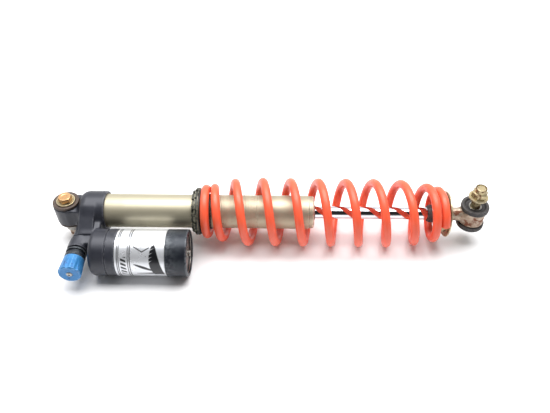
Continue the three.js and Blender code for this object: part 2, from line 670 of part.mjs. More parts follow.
function upperEye() {
  const dishDepth = 0.8;
  const top = EYE_HALF + FIT + UPPER_FLANGE;
  const floorR = UPPER_WASHER_R + FIT;
  const bush = halfBush(
    EYE_BORE_R, EYE_HALF, UPPER_BUSH_R, UPPER_FLANGE, floorR, dishDepth, UPPER_SLEEVE_R,
  );
  const washerStart = top - dishDepth + FIT;
  const headStart = washerStart + UPPER_WASHER + FIT;
  const holeR = UPPER_BOLT_R + FIT;
  const spacerEnd = -(top - dishDepth + FIT);
  const nutEnd = spacerEnd - SPACER - FIT;
  const tail = nutEnd - UPPER_NUT - UPPER_BOLT_TAIL;
  const sleeveHalf = top - dishDepth;
  const bolt = joined(
    hexPrism(headStart, headStart + UPPER_HEAD, UPPER_BOLT_AF).rotateZ(Math.PI / 8),
    aboutZ(disc(tail, headStart + 1, UPPER_BOLT_R), SMALL),
  );
  const nut = hexPrism(nutEnd - UPPER_NUT, nutEnd, UPPER_BOLT_AF);
  const nutHole = aboutZ(disc(nutEnd - UPPER_NUT - 1, nutEnd + 1, holeR), SMALL);
  const washer = ring(washerStart, washerStart + UPPER_WASHER, holeR, UPPER_WASHER_R);
  return assembly(
    ...pair(['upper_bush_top', 'upper_bush_bottom'], 'brownBush', bush, MEDIUM),
    piece('upper_sleeve', 'steel', aboutZ(ring(-sleeveHalf, sleeveHalf, holeR, UPPER_SLEEVE_R))),
    piece('upper_washer', 'zincYellow', aboutZ(washer)),
    piece('upper_bolt', 'zincYellow', bolt),
    piece('upper_spacer', 'steel', aboutZ(ring(spacerEnd - SPACER, spacerEnd, holeR, SPACER_R))),
    piece('upper_nut', 'rustyZinc', cut(nut, nutHole)),
  );
}

function lowerEyelet() {
  const past = 1;
  const neckStart = SEAT_FACE + FIT - EYE_TO_EYE;
  const collarEnd = neckStart + NECK_COLLAR;
  const threadDepth = 1 - LOWER_EYE_R - THREAD_TO_EYE;
  const chamfer = 1;
  const faceR = LOWER_EYE_R - chamfer;
  const edge = LOWER_EYE_HALF - chamfer;
  const body = aboutZ([
    [-LOWER_EYE_HALF, 0], [-LOWER_EYE_HALF, faceR], [-edge, LOWER_EYE_R],
    [edge, LOWER_EYE_R], [LOWER_EYE_HALF, faceR], [LOWER_EYE_HALF, 0],
  ], ROUND);
  const rootR = LOWER_EYE_HALF - 0.5;
  const rootEnd = -2; // the neck runs this far inside the eye
  const neck = aboutX([
    [neckStart, 0], [neckStart, NECK_COLLAR_R], [collarEnd, NECK_COLLAR_R], [collarEnd, NECK_R],
    [-LOWER_EYE_R - 3, NECK_R], [-LOWER_EYE_R + 2, rootR], [rootEnd, rootR], [rootEnd, 0],
  ], MEDIUM);
  const eyeBore = aboutZ(disc(-LOWER_EYE_HALF - past, LOWER_EYE_HALF + past, LOWER_BORE_R));
  const thread = aboutX(disc(neckStart - past, threadDepth, SHAFT_THREAD_R + FIT));
  return piece('lower_eyelet', 'zincYellow', cut(joined(body, neck), eyeBore, thread));
}

function lowerEye() {
  const floorR = 12.5;
  const dishDepth = 2.5;
  const top = LOWER_EYE_HALF + FIT + LOWER_FLANGE;
  const bush = halfBush(
    LOWER_BORE_R, LOWER_EYE_HALF, LOWER_BUSH_R, LOWER_FLANGE, floorR, dishDepth, LOWER_SLEEVE_R,
  );
  const sleeveHalf = top - dishDepth + 0.5;
  const holeR = LOWER_BOLT_R + FIT;
  const headTop = -(sleeveHalf + FIT);
  const nutStart = top + LOWER_GRIP;
  const nutEnd = nutStart + LOWER_NUT;
  const rim = 1.5;
  const bolt = joined(
    hexPrism(headTop - LOWER_HEAD, headTop, LOWER_BOLT_AF),
    aboutZ(disc(headTop - 1, nutEnd - 1, LOWER_BOLT_R), MEDIUM),
  );
  const skirt = aboutZ([
    [nutStart, 0], [nutStart, LOWER_NUT_FLANGE_R], [nutStart + rim, LOWER_NUT_FLANGE_R],
    [nutStart + 4 * rim, LOWER_NUT_AF / 2 - 0.5], [nutEnd, LOWER_NUT_AF / 2 - 0.5], [nutEnd, 0],
  ]);
  const hex = hexPrism(nutStart + rim, nutEnd - rim, LOWER_NUT_AF);
  const nutHole = aboutZ(disc(nutStart - 1, nutEnd + 1, holeR));
  return assembly(
    lowerEyelet(),
    ...pair(['lower_bush_top', 'lower_bush_bottom'], 'blackRubber', bush, MEDIUM),
    piece('lower_sleeve', 'steel', aboutZ(ring(-sleeveHalf, sleeveHalf, holeR, LOWER_SLEEVE_R))),
    piece('lower_bolt', 'rustyZinc', bolt),
    piece('lower_nut', 'zincYellow', cut(joined(skirt, hex), nutHole)),
  );
}

// ---- Reservoir, about its own axis ----

function reservoir() {
  const sleeveStart = RES_SLEEVE_START + FIT;
  const sleeveEnd = END_CAP_START - FIT;
  const sleeveIn = RES_TUBE_R + FIT;
  const tube = aboutX([
    [RES_TUBE_START, RES_BORE_R], [RES_TUBE_START, RES_SPIGOT_R], [sleeveStart, RES_SPIGOT_R],
    [sleeveStart, RES_TUBE_R], [sleeveEnd, RES_TUBE_R], [sleeveEnd, RES_SPIGOT_R],
    [RES_TUBE_END, RES_SPIGOT_R], [RES_TUBE_END, RES_BORE_R], [RES_TUBE_START, RES_BORE_R],
  ]);
  const mouthR = RES_BORE_R;
  const chamfer = 1.5;
  const wireR = 0.9;
  const wireGroove = PLUG_END + FIT;
  const wireGrooveEnd = wireGroove + 2 * (wireR + FIT);
  const cap = aboutX([
    [END_CAP_START, RES_SPIGOT_R + FIT], [END_CAP_START, END_CAP_R - 1], [END_CAP_START + 1, END_CAP_R],
    [END_CAP_END - chamfer, END_CAP_R], [END_CAP_END, END_CAP_R - chamfer], [END_CAP_END, mouthR],
    [wireGrooveEnd, mouthR], [wireGrooveEnd, mouthR + wireR],
    [wireGroove, mouthR + wireR], [wireGroove, mouthR], [RES_TUBE_END + FIT, mouthR],
    [RES_TUBE_END + FIT, RES_SPIGOT_R + FIT], [END_CAP_START, RES_SPIGOT_R + FIT],
  ]);
  const plugR = RES_BORE_R - FIT;
  const plugStart = PLUG_END - PLUG;
  const grooveR = plugR - 2 * RING_R;
  const groove = plugStart + 3;
  const bossR = 7;
  const valveHoleR = 3.2;
  const plug = aboutX([
    [plugStart, valveHoleR + FIT], [plugStart, plugR], [groove, plugR], [groove, grooveR],
    [groove + RING_GROOVE, grooveR], [groove + RING_GROOVE, plugR], [PLUG_END, plugR], [PLUG_END, bossR + 8],
    [PLUG_END - 1, bossR + 6], [PLUG_END - 1, valveHoleR + FIT], [plugStart, valveHoleR + FIT],
  ]);
  const stemEnd = END_CAP_END + 1;
  const stemR = 3.8;
  const mouthDepth = 3;
  const stemMouthR = 2.6;
  const pinR = 1.1;
  const valveStart = plugStart + 2;
  const hexSeat = PLUG_END - 1 + FIT;
  const hexEnd = PLUG_END + 1.5;
  const valve = aboutX([
    [valveStart, pinR + FIT], [valveStart, valveHoleR], [hexSeat, valveHoleR],
    [hexSeat, bossR - 1], [hexEnd, bossR - 1], [hexEnd, stemR],
    [stemEnd, stemR], [stemEnd, stemMouthR], [stemEnd - mouthDepth, stemMouthR],
    [stemEnd - mouthDepth, pinR + FIT], [valveStart, pinR + FIT],
  ], SMALL);
  const sleeve = ring(sleeveStart, sleeveEnd, sleeveIn, sleeveIn + RES_SLEEVE_WALL);
  const oring = oRing(groove + RING_GROOVE / 2, grooveR + RING_R, RING_R - FIT / 3);
  const pin = disc(valveStart + 2, stemEnd - 0.5, pinR);
  return [
    piece('reservoir_tube', 'hardAnodised', tube),
    piece('reservoir_sleeve', 'silverPrint', aboutX(sleeve)),
    piece('reservoir_end_cap', 'blackAnodised', cap),
    piece('end_cap_ring', 'steel', aboutX(oRing(wireGroove + wireR + FIT, mouthR, wireR - FIT))),
    piece('valve_plate', 'greyAnodised', plug),
    piece('end_cap_oring', 'blackRubber', aboutX(oring)),
    piece('fill_valve_body', 'steel', valve),
    piece('fill_valve_pin', 'bronze', aboutX(pin, SMALL)),
    ...floatingPiston(plugR),
  ];
}

function floatingPiston(pistonR) {
  const start = RES_SLEEVE_START + FLOATING_PISTON_START;
  const end = start + FLOATING_PISTON;
  const grooveR = pistonR - 2 * RING_R;
  const ringGroove = start + 3;
  const bandStart = ringGroove + 5;
  const bandEnd = end - 2;
  const bandBed = pistonR - 1.2;
  const cupR = pistonR - 6;
  const floorEnd = start + 5;
  const outerR = pistonR - 0.5;
  const ringBed = grooveR - 0.5;
  const grooveEnd = ringGroove + RING_GROOVE;
  const body = aboutX([
    [start, 0], [start, outerR], [ringGroove, outerR], [ringGroove, ringBed], [grooveEnd, ringBed],
    [grooveEnd, outerR], [bandStart, outerR], [bandStart, bandBed - FIT], [bandEnd, bandBed - FIT],
    [bandEnd, outerR], [end, outerR], [end, cupR], [floorEnd, cupR - 1], [floorEnd, 0],
  ]);
  const seal = oRing(ringGroove + RING_GROOVE / 2, grooveR + RING_R - FIT, RING_R - FIT / 2);
  const band = ring(bandStart + FIT, bandEnd - FIT, bandBed, pistonR);
  return [
    piece('floating_piston', 'steel', body),
    piece('floating_piston_oring', 'blackRubber', aboutX(seal)),
    piece('floating_piston_band', 'ptfe', aboutX(band)),
  ];
}

// ---- Compression adjuster, along minus Y from the damper axis ----

function adjuster() {
  const bodyR = BARREL_BORE_R - FIT;
  const spindleR = 2.5;
  const bodyStart = BARREL_LENGTH - CARTRIDGE_DEPTH;
  const flangeStart = BARREL_LENGTH + FIT;
  const flangeEnd = KNOB_START - FIT;
  const neckEnd = flangeStart + 2;
  const ringEnd = neckEnd + 2;
  const skirtStart = ringEnd + 3;
  const skirtEnd = flangeEnd - 4;
  const neckR = BARREL_R - 2;
  const sealBedR = bodyR - 2 * RING_R;
  const boreR = spindleR + FIT;
  const cartridge = aboutMinusY([
    [bodyStart, boreR], [bodyStart, sealBedR], [bodyStart + RING_GROOVE, sealBedR],
    [bodyStart + RING_GROOVE, bodyR], [flangeStart, bodyR], [flangeStart, neckR], [neckEnd, neckR],
    [neckEnd, BARREL_R], [ringEnd, BARREL_R], [ringEnd, neckR], [skirtStart, neckR],
    [skirtEnd, BARREL_R], [flangeEnd, BARREL_R], [flangeEnd, boreR], [bodyStart, boreR],
  ]);
  const pocketR = 1.9;
  const pocketDepth = 7;
  const detentR = 8;
  const pocket = aboutMinusY(disc(flangeEnd - pocketDepth, flangeEnd + 1, pocketR), SMALL);
  const oring = aboutMinusY(oRing(bodyStart + RING_GROOVE / 2, bodyR - RING_R, RING_R - FIT / 3));

  const knobEnd = KNOB_START + KNOB_LENGTH;
  const screwHead = 2.4;
  const screwSeat = knobEnd - 2;
  const headR = 3.6;
  const edge = 1.5;
  const trackEnd = KNOB_START + 1.2; // the detent ball runs in a ring groove under the knob
  const knobBody = aboutMinusY([
    [KNOB_START, boreR], [KNOB_START, detentR - pocketR], [trackEnd, detentR - pocketR],
    [trackEnd, detentR + pocketR], [KNOB_START, detentR + pocketR], [KNOB_START, KNOB_NECK_R - 1],
    [KNOB_START + 1, KNOB_NECK_R], [knobEnd - edge, KNOB_R], [knobEnd, KNOB_R - edge],
    [knobEnd, headR + FIT], [screwSeat, headR + FIT], [screwSeat, boreR], [KNOB_START, boreR],
  ], ROUND);
  const fluteR = 6;
  const fluteDepth = 0.9;
  const flutes = [];
  for (let i = 0; i < KNOB_FLUTES; i += 1) {
    const flute = aboutMinusY(disc(KNOB_START - 1, knobEnd + 1, fluteR), SMALL);
    flute.translate(KNOB_R + fluteR - fluteDepth, 0, 0);
    flutes.push(flute.rotateY((i / KNOB_FLUTES) * 2 * Math.PI));
  }
  const spindleEnd = screwSeat - 1;
  const screwHole = 1.8;
  const needle = 2.5;
  const needleTipR = 0.8;
  const spindleStart = bodyStart - needle - 0.5;
  const threadStart = spindleEnd - 10;
  const spindle = aboutMinusY([
    [spindleStart, 0], [spindleStart, needleTipR], [spindleStart + needle, spindleR], [spindleEnd, spindleR],
    [spindleEnd, screwHole], [threadStart, screwHole], [threadStart, 0],
  ], SMALL);
  const headStart = screwSeat + FIT;
  const screwR = screwHole - FIT;
  const screw = cut(
    aboutMinusY([
      [threadStart + 1, 0], [threadStart + 1, screwR], [headStart, screwR], [headStart, headR],
      [headStart + screwHead - 1, headR - 0.4], [headStart + screwHead, headR - 1.4],
      [headStart + screwHead, 0],
    ], SMALL),
    hexPrism(1, screwHead + 1, SCREW_KEY).rotateX(Math.PI / 2).translate(0, -headStart, 0),
  );
  const valveStart = BARREL_BORE_END + FIT;
  const valveEnd = valveStart + 6;
  const valveHoleR = 1.5;
  const valve = ring(valveStart, valveEnd, valveHoleR, bodyR);
  const shims = ring(valveEnd + FIT, valveEnd + 2, valveHoleR, bodyR * 0.75);

  const ballR = 1.5;
  const ballCentre = KNOB_START - 0.9; // the ball stands up into the knob's groove
  const ball = new THREE.SphereGeometry(ballR, 10, 6).translate(detentR, -ballCentre, 0);
  const springStart = flangeEnd - pocketDepth + FIT;
  const springEnd = ballCentre - ballR - FIT;
  const pieces = [
    piece('adjuster_cartridge', 'blackAnodised', cut(cartridge, pocket.translate(detentR, 0, 0))),
    piece('adjuster_oring', 'blackRubber', oring),
    piece('adjuster_knob', 'blueAnodised', cut(knobBody, ...flutes)),
    piece('knob_screw', 'steel', screw),
    piece('adjuster_spindle', 'steel', spindle),
    piece('base_valve', 'bronze', aboutMinusY(valve)),
    piece('base_valve_shims', 'steel', aboutMinusY(shims)),
    piece('detent_ball', 'steel', ball),
    piece('detent_spring', 'steel', detentSpring(detentR, springStart, springEnd, pocketR)),
  ];
  pieces.forEach((mesh) => mesh.position.set(BARREL_X, 0, -BARREL_DROP));
  return pieces;
}

// A small helix along minus Y, centred at x = offset.
class DetentLine extends THREE.Curve {
  constructor(offset, start, end, radius) {
    super();
    Object.assign(this, { offset, start, end, radius, turns: 4 });
  }

  getPoint(share, target = new THREE.Vector3()) {
    const turn = share * this.turns * 2 * Math.PI;
    const along = THREE.MathUtils.lerp(this.start, this.end, share);
    return target.set(this.offset + this.radius * Math.cos(turn), -along, this.radius * Math.sin(turn));
  }
}

function detentSpring(offset, start, end, pocketR) {
  const wireR = 0.25;
  const section = new THREE.Shape().absarc(0, 0, wireR, 0, 2 * Math.PI);
  const line = new DetentLine(offset, start + wireR, end - wireR, pocketR - wireR - FIT);
  const options = { curveSegments: 2, steps: 32, bevelEnabled: false, extrudePath: line };
  return new THREE.ExtrudeGeometry(section, options);
}

// ---- The whole shock absorber ----

const gasReservoir = assembly(...reservoir());
gasReservoir.position.y = -BRIDGE_OFFSET;
const bridge = assembly(gasReservoir);
bridge.rotation.x = BRIDGE_TILT;

const lower = lowerEye();
lower.position.x = EYE_TO_EYE;

const model = assembly(
  headCasting(),
  ...damperTube(),
  ...sealHead(),
  coilSpring(),
  ...preloadCollar(),
  springRetainer(),
  ...pistonSet(),
  ...shaft(),
  upperEye(),
  lower,
  bridge,
  ...adjuster(),
);

const box = new THREE.Box3().setFromObject(model, true);
const centre = box.getCenter(new THREE.Vector3());
model.position.set(-centre.x, -centre.y, -box.min.z);

const shock = assembly(model);
shock.name = 'rear_shock';

export default shock;
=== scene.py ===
"""Looks of a rear shock absorber with a gas reservoir on its side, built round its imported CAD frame.

Meshes are in the frame's metres. The sizes held by the classes below are in millimetres, and every
place along an axis is read from the box or the corners of the CAD node that a piece stands for.
"""
import json
import logging
import math
from collections.abc import Callable, Sequence
from dataclasses import dataclass, field, replace
from enum import Enum

import bpy
import numpy as np
from mathutils import Matrix, Vector

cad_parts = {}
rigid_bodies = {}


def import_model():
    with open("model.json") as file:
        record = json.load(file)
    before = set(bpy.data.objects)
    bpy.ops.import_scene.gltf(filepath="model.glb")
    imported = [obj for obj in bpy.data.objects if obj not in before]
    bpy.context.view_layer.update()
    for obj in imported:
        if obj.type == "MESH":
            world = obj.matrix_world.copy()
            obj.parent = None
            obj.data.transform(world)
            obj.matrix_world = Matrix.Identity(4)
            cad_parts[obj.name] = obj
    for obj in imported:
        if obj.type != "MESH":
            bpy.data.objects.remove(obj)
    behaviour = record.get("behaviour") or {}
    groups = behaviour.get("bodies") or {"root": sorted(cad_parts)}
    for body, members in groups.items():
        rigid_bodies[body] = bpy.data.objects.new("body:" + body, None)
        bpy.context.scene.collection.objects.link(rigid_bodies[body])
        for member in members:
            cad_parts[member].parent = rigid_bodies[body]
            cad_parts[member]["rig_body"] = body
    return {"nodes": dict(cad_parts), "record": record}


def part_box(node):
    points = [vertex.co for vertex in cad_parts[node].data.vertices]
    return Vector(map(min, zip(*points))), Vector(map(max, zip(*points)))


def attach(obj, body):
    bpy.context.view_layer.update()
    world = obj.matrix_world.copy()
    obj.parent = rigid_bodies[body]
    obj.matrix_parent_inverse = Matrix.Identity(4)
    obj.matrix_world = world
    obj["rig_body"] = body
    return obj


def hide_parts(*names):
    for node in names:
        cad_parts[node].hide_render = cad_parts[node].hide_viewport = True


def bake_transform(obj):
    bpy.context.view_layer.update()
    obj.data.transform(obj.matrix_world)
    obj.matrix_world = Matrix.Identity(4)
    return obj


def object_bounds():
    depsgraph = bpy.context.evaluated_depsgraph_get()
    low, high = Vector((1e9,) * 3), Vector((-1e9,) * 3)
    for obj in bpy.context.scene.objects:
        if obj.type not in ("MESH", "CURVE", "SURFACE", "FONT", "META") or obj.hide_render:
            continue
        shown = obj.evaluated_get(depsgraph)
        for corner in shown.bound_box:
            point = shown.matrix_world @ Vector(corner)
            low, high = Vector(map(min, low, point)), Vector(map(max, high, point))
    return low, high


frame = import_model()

CAD_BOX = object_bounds()
LOG = logging.getLogger("shock")

MM = 0.001
FULL_TURN = 2 * math.pi
COLLAR_SPIGOT = 22.8  # the radius of the collar's spigot, which the first coil fits over
NODE_BODY = {name: node["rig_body"] for name, node in frame["nodes"].items()}
NODE_SLOT = {row["node"]: row["material_slot"] for row in frame["record"]["subparts"]}

Array = np.ndarray
Shape = Callable[[Array, Array, Array], Array]  # (along, radius, angle) to a new radius, in mm
Corner = tuple[float, float, float]  # along, radius, and how far the corner's rounding reaches


# ---- Axes, and what the frame says about them ----


@dataclass(frozen=True)
class Extent:
    """Where a CAD node lies along an axis and round it, in millimetres."""

    start: float
    end: float
    inner: float
    outer: float


@dataclass(frozen=True)
class Axis:
    """A line that turned pieces are made round: an origin in metres and two unit directions."""

    origin: tuple[float, float, float]
    along: tuple[float, float, float]
    side: tuple[float, float, float]

    def directions(self) -> Array:
        """The three unit directions, along, side and up, as rows."""
        up = np.cross(self.along, self.side)
        return np.array([self.along, self.side, up])

    def to_frame(self, local: Array) -> Array:
        """Points given along, to the side and up, in mm, as points of the frame in metres."""
        return np.array(self.origin) + (local * MM) @ self.directions()

    def to_local(self, points: Array) -> Array:
        """Points of the frame in metres as along, side and up in mm."""
        return (points - np.array(self.origin)) @ self.directions().T / MM

    def extent(self, node: str) -> Extent:
        """Measures a CAD node's corners against this axis.

        Args:
            node: The CAD node's name.

        Returns:
            Its start and end along the axis and its smallest and largest radius.
        """
        vertices = frame["nodes"][node].data.vertices
        points = np.empty(len(vertices) * 3)
        vertices.foreach_get("co", points)
        local = self.to_local(points.reshape(-1, 3))
        radius = np.hypot(local[:, 1], local[:, 2])
        return Extent(local[:, 0].min(), local[:, 0].max(), radius.min(), radius.max())


def middle_of(node: str) -> Vector:
    """The middle of a CAD node's box, in metres."""
    low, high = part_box(node)
    return (low + high) / 2


@dataclass(frozen=True)
class Datum:
    """The axes that the whole shock is built on."""

    damper: Axis
    reservoir: Axis
    adjuster: Axis
    upper_eye: Axis
    lower_eye: Axis
    bridge: Axis  # from the upper eye, leaning with the bridge between damper and reservoir

    @classmethod
    def from_frame(cls) -> "Datum":
        """Reads every axis from the boxes of the CAD nodes that lie on it."""
        tube, flask = middle_of("body_tube"), middle_of("reservoir_tube")
        upper, lower = middle_of("upper_bush_top"), middle_of("lower_bush_top")
        knob = middle_of("adjuster_knob")
        lean = Vector((0, flask.y - tube.y, flask.z - tube.z)).normalized()
        x, y, z = (1, 0, 0), (0, 1, 0), (0, 0, 1)
        return cls(
            damper=Axis((0, tube.y, tube.z), x, y),
            reservoir=Axis((0, flask.y, flask.z), x, y),
            adjuster=Axis((knob.x, tube.y, knob.z), (0, -1, 0), x),
            upper_eye=Axis((upper.x, tube.y, tube.z), z, x),
            lower_eye=Axis((lower.x, tube.y, tube.z), z, x),
            bridge=Axis((upper.x, tube.y, tube.z), x, tuple(-lean)),
        )


# ---- Surfaces ----


@dataclass
class Surface:
    """A mesh in whole arrays: points in metres, faces as rows of indices, and values at the points."""

    points: Array
    quads: Array
    triangles: Array = field(default_factory=lambda: np.empty((0, 3), int))
    values: dict[str, Array] = field(default_factory=dict)

    def volume(self) -> float:
        """The signed volume within the faces: one sixth of the sum of a . (b x c)."""
        corners = np.concatenate([self.quads[:, :3], self.quads[:, [0, 2, 3]], self.triangles])
        a, b, c = (self.points[corners[:, i]] for i in range(3))
        return float(np.einsum("ij,ij->", a, np.cross(b, c)) / 6)

    def mesh(self, name: str, sharp_degrees: float = 38) -> bpy.types.Mesh:
        """Turns the arrays into a smooth-shaded Blender mesh whose faces point outwards.

        Args:
            name: The mesh's name.
            sharp_degrees: Edges that bend by more than this stay crisp.

        Returns:
            The new mesh, with each array of values as a point attribute.
        """
        step = -1 if self.volume() < 0 else 1
        faces = self.quads[:, ::step].tolist() + self.triangles[:, ::step].tolist()
        mesh = bpy.data.meshes.new(name)
        mesh.from_pydata(self.points.tolist(), [], faces)
        for label, values in self.values.items():
            attribute = mesh.attributes.new(label, "FLOAT", "POINT")
            attribute.data.foreach_set("value", values.astype(np.float32))
        mesh.shade_smooth()
        mesh.set_sharp_from_angle(angle=math.radians(sharp_degrees))
        return mesh


def rounded(outline: Sequence[Corner], closed: bool, steps: int = 5) -> tuple[Array, Array]:
    """Rounds an outline's corners.

    Each corner C with reach t becomes the parabola (1-u)^2 A + 2u(1-u) C + u^2 B, where A and B lie t
    along its two sides. A guard point beside each end keeps the flat sides flat when shaded.

    Args:
        outline: Corners as along, radius and reach, in mm.
        closed: True if the last corner joins the first.
        steps: Points on each rounding.

    Returns:
        The rounded outline, and how worn each of its points is: 1 on an outer corner, 0 elsewhere.
    """
    corners = np.array(outline, float)
    here, reach = corners[:, :2], corners[:, 2]
    back, ahead = np.roll(here, 1, axis=0) - here, np.roll(here, -1, axis=0) - here
    back_length, ahead_length = np.linalg.norm(back, axis=1), np.linalg.norm(ahead, axis=1)
    shorter = np.minimum(back_length, ahead_length)
    back /= np.maximum(back_length, 1e-9)[:, None]
    ahead /= np.maximum(ahead_length, 1e-9)[:, None]
    turning = back[:, 0] * ahead[:, 1] - back[:, 1] * ahead[:, 0]
    bends = np.abs(turning) > 1e-3
    reach = np.where(bends, np.minimum(reach, 0.45 * shorter), 0)
    u = np.linspace(0, 1, steps)[None, :, None]
    start, end = here + back * reach[:, None], here + ahead * reach[:, None]
    curve = (1 - u) ** 2 * start[:, None] + 2 * u * (1 - u) * here[:, None] + u**2 * end[:, None]
    guards = [np.where(bends, np.minimum(reach + gap, 0.49 * shorter), 0) for gap in (0.9, 0.15)]
    before = np.stack([here + back * guard[:, None] for guard in guards], axis=1)
    after = np.stack([here + ahead * guard[:, None] for guard in guards[::-1]], axis=1)
    points = np.concatenate([before, curve, after], axis=1)

    area = np.sum(here[:, 0] * np.roll(here[:, 1], -1) - here[:, 1] * np.roll(here[:, 0], -1))
    outer = (turning * np.sign(area) < 0) & bends
    along_corner = np.concatenate([[0, 0.6], np.ones(steps), [0.6, 0]])
    worn = outer[:, None] * along_corner[None, :]
    if not closed:
        points[0], points[-1] = here[0], here[-1]
        worn[0], worn[-1] = 0, 0
    points, worn = points.reshape(-1, 2), worn.reshape(-1)
    apart = np.linalg.norm(np.diff(points, axis=0), axis=1) > 1e-5
    keep = np.concatenate([[True], apart])
    if closed and np.linalg.norm(points[keep][0] - points[keep][-1]) < 1e-5:
        keep[np.flatnonzero(keep)[-1]] = False
    return points[keep], worn[keep]


def turned(
    axis: Axis,
    outline: Sequence[Corner],
    shape: Shape | None = None,
    columns: int = 96,
    angles: Array | None = None,
) -> Surface:
    """A surface of revolution: the point at (along s, angle a) stands r(s, a) from the axis.

    Args:
        axis: What it is turned round.
        outline: Corners in mm. It is a ring if it starts off the axis, and then closes on itself.
        shape: Changes the radius with the angle, for threads, flats, flutes and notches.
        columns: How many even steps go round.
        angles: The steps themselves, in place of columns, where they aren't even.

    Returns:
        The closed surface, with its worn corners.
    """
    closed = outline[0][1] > 1e-6
    profile, worn = rounded(outline, closed)
    turn = np.linspace(0, FULL_TURN, columns, endpoint=False) if angles is None else angles
    along, radius = np.broadcast_arrays(profile[:, :1], profile[:, 1:] + 0 * turn)
    if shape is not None:
        radius = shape(along, radius, turn[None, :] + 0 * along)
    local = np.stack([along, radius * np.cos(turn), radius * np.sin(turn)], axis=-1)

    rows, steps = along.shape
    index = np.arange(rows * steps).reshape(rows, steps)
    if not closed:
        index[0], index[-1] = index[0, 0], index[-1, 0]
    nearer = index if closed else index[:-1]
    farther = np.roll(index, -1, axis=0) if closed else index[1:]
    faces = np.stack(
        [nearer, farther, np.roll(farther, -1, axis=1), np.roll(nearer, -1, axis=1)], axis=-1
    ).reshape(-1, 4)
    near_pole, far_pole = faces[:, 0] == faces[:, 3], faces[:, 1] == faces[:, 2]
    quads = faces[~(near_pole | far_pole)]
    triangles = np.concatenate([faces[near_pole][:, :3], faces[far_pole][:, [0, 1, 3]]])
    used, inverse = np.unique(np.concatenate([quads.ravel(), triangles.ravel()]), return_inverse=True)
    points = axis.to_frame(local.reshape(-1, 3))[used]
    wear = np.repeat(worn, steps)[used]
    split = quads.size
    return Surface(
        points, inverse[:split].reshape(-1, 4), inverse[split:].reshape(-1, 3), {"wear": wear}
    )


def plain_ring(
    axis: Axis, node: str, rim: float, bore: float = 0.2, columns: int = 96
) -> Surface:
    """A turned ring of rectangular section, as large as a CAD node.

    Args:
        axis: The node's axis.
        node: The CAD node that gives its ends and its radii.
        rim: How far the rounding of its outer corners reaches, in mm.
        bore: The same for its inner corners.
        columns: How many steps go round.
    """
    size = axis.extent(node)
    outline = [
        (size.start, size.inner, bore),
        (size.start, size.outer, rim),
        (size.end, size.outer, rim),
        (size.end, size.inner, bore),
    ]
    return turned(axis, outline, columns=columns)


# ---- Ways to shape a turned blank ----


def from_middle(angle: Array, count: int) -> Array:
    """How far an angle is from the middle of its share of the turn, one of a count of even shares."""
    share = FULL_TURN / count
    return (angle + share / 2) % share - share / 2


def hexagon(across_flats: float, start: float = -math.inf, turn: float = 0.0) -> Shape:
    """Six flats milled on a blank: the radius is at most (flats / 2) / cos(angle from a flat's middle).

    Args:
        across_flats: The spanner size.
        start: The flats begin at this place along the axis.
        turn: The angle of one flat's middle.
    """

    def shape(along: Array, radius: Array, angle: Array) -> Array:
        """The smaller of the blank's radius and the flat's."""
        flat = across_flats / 2 / np.cos(from_middle(angle - turn, 6))
        return np.where(along >= start, np.minimum(radius, flat), radius)

    return shape


def thread(start: float, end: float, crest: float, pitch: float, depth: float) -> Shape:
    """A helical thread: the radius falls in a V from the crest, once for each pitch and turn.

    Args:
        start: Where it begins along the axis, in mm.
        end: Where it ends.
        crest: The radius that carries it.
        pitch: From crest to crest.
        depth: From crest to root.
    """

    def shape(along: Array, radius: Array, angle: Array) -> Array:
        """The radius less the depth of the V at this place."""
        phase = (along / pitch - angle / FULL_TURN) % 1
        groove = 1 - np.abs(2 * phase - 1)
        runs = np.clip((along - start) / pitch, 0, 1) * np.clip((end - along) / pitch, 0, 1)
        return radius - np.where(np.abs(radius - crest) < 0.01, depth * groove * runs, 0)

    return shape


def flutes(count: int, rim: float, cutter: float, depth: float) -> Shape:
    """Round flutes down a knob: the radius is at most that of a cutter's circle outside it.

    A cutter of radius c whose centre lies D out meets the ray at angle f from it at
    D cos f - sqrt(c^2 - D^2 sin^2 f).
    """
    distance = rim + cutter - depth

    def shape(_along: Array, radius: Array, angle: Array) -> Array:
        """The smaller of the knob's radius and the cutter's near side."""
        off = from_middle(angle, count)
        under = cutter**2 - (distance * np.sin(off)) ** 2
        met = distance * np.cos(off) - np.sqrt(np.maximum(under, 0))
        return np.where((under > 0) & (radius > rim / 2), np.minimum(radius, met), radius)

    return shape


@dataclass(frozen=True)
class Notches:
    """Spanner notches cut down through a rim."""

    count: int
    width: float
    depth: float
    rim: float
    start: float
    end: float

    def angles(self) -> Array:
        """Steps round the rim, with one on each side of every notch's two flanks."""
        share = FULL_TURN / self.count
        half = self.width / 2 / self.rim
        flank = 0.004
        lands = np.linspace(half + flank, share - half - flank, 9)
        floor = np.linspace(-half, half, 4)
        one = np.concatenate([floor, lands])
        return (np.arange(self.count)[:, None] * share + share / 2 + one).ravel()

    def shape(self, along: Array, radius: Array, angle: Array) -> Array:
        """The notch's floor where the angle and the place fall in a notch, else the radius."""
        share = FULL_TURN / self.count
        off = np.abs(angle % share - share / 2)
        inside = (off < self.width / 2 / self.rim + 0.002) & (along > self.start) & (along < self.end)
        return np.where(inside, np.minimum(radius, self.rim - self.depth), radius)


# ---- Blended solids, for what is cast or forged ----

Field = Callable[[Array], Array]  # distance to a surface in mm, less than 0 inside


def rod(along: Array, radius: Array, start: float, end: float, size: float, edge: float) -> Array:
    """Distance to a round bar with rounded edges, from the place along it and the distance off it."""
    middle, half = (start + end) / 2, (end - start) / 2
    outward = radius - (size - edge)
    endward = np.abs(along - middle) - (half - edge)
    outside = np.hypot(np.maximum(outward, 0), np.maximum(endward, 0))
    return outside + np.minimum(np.maximum(outward, endward), 0) - edge


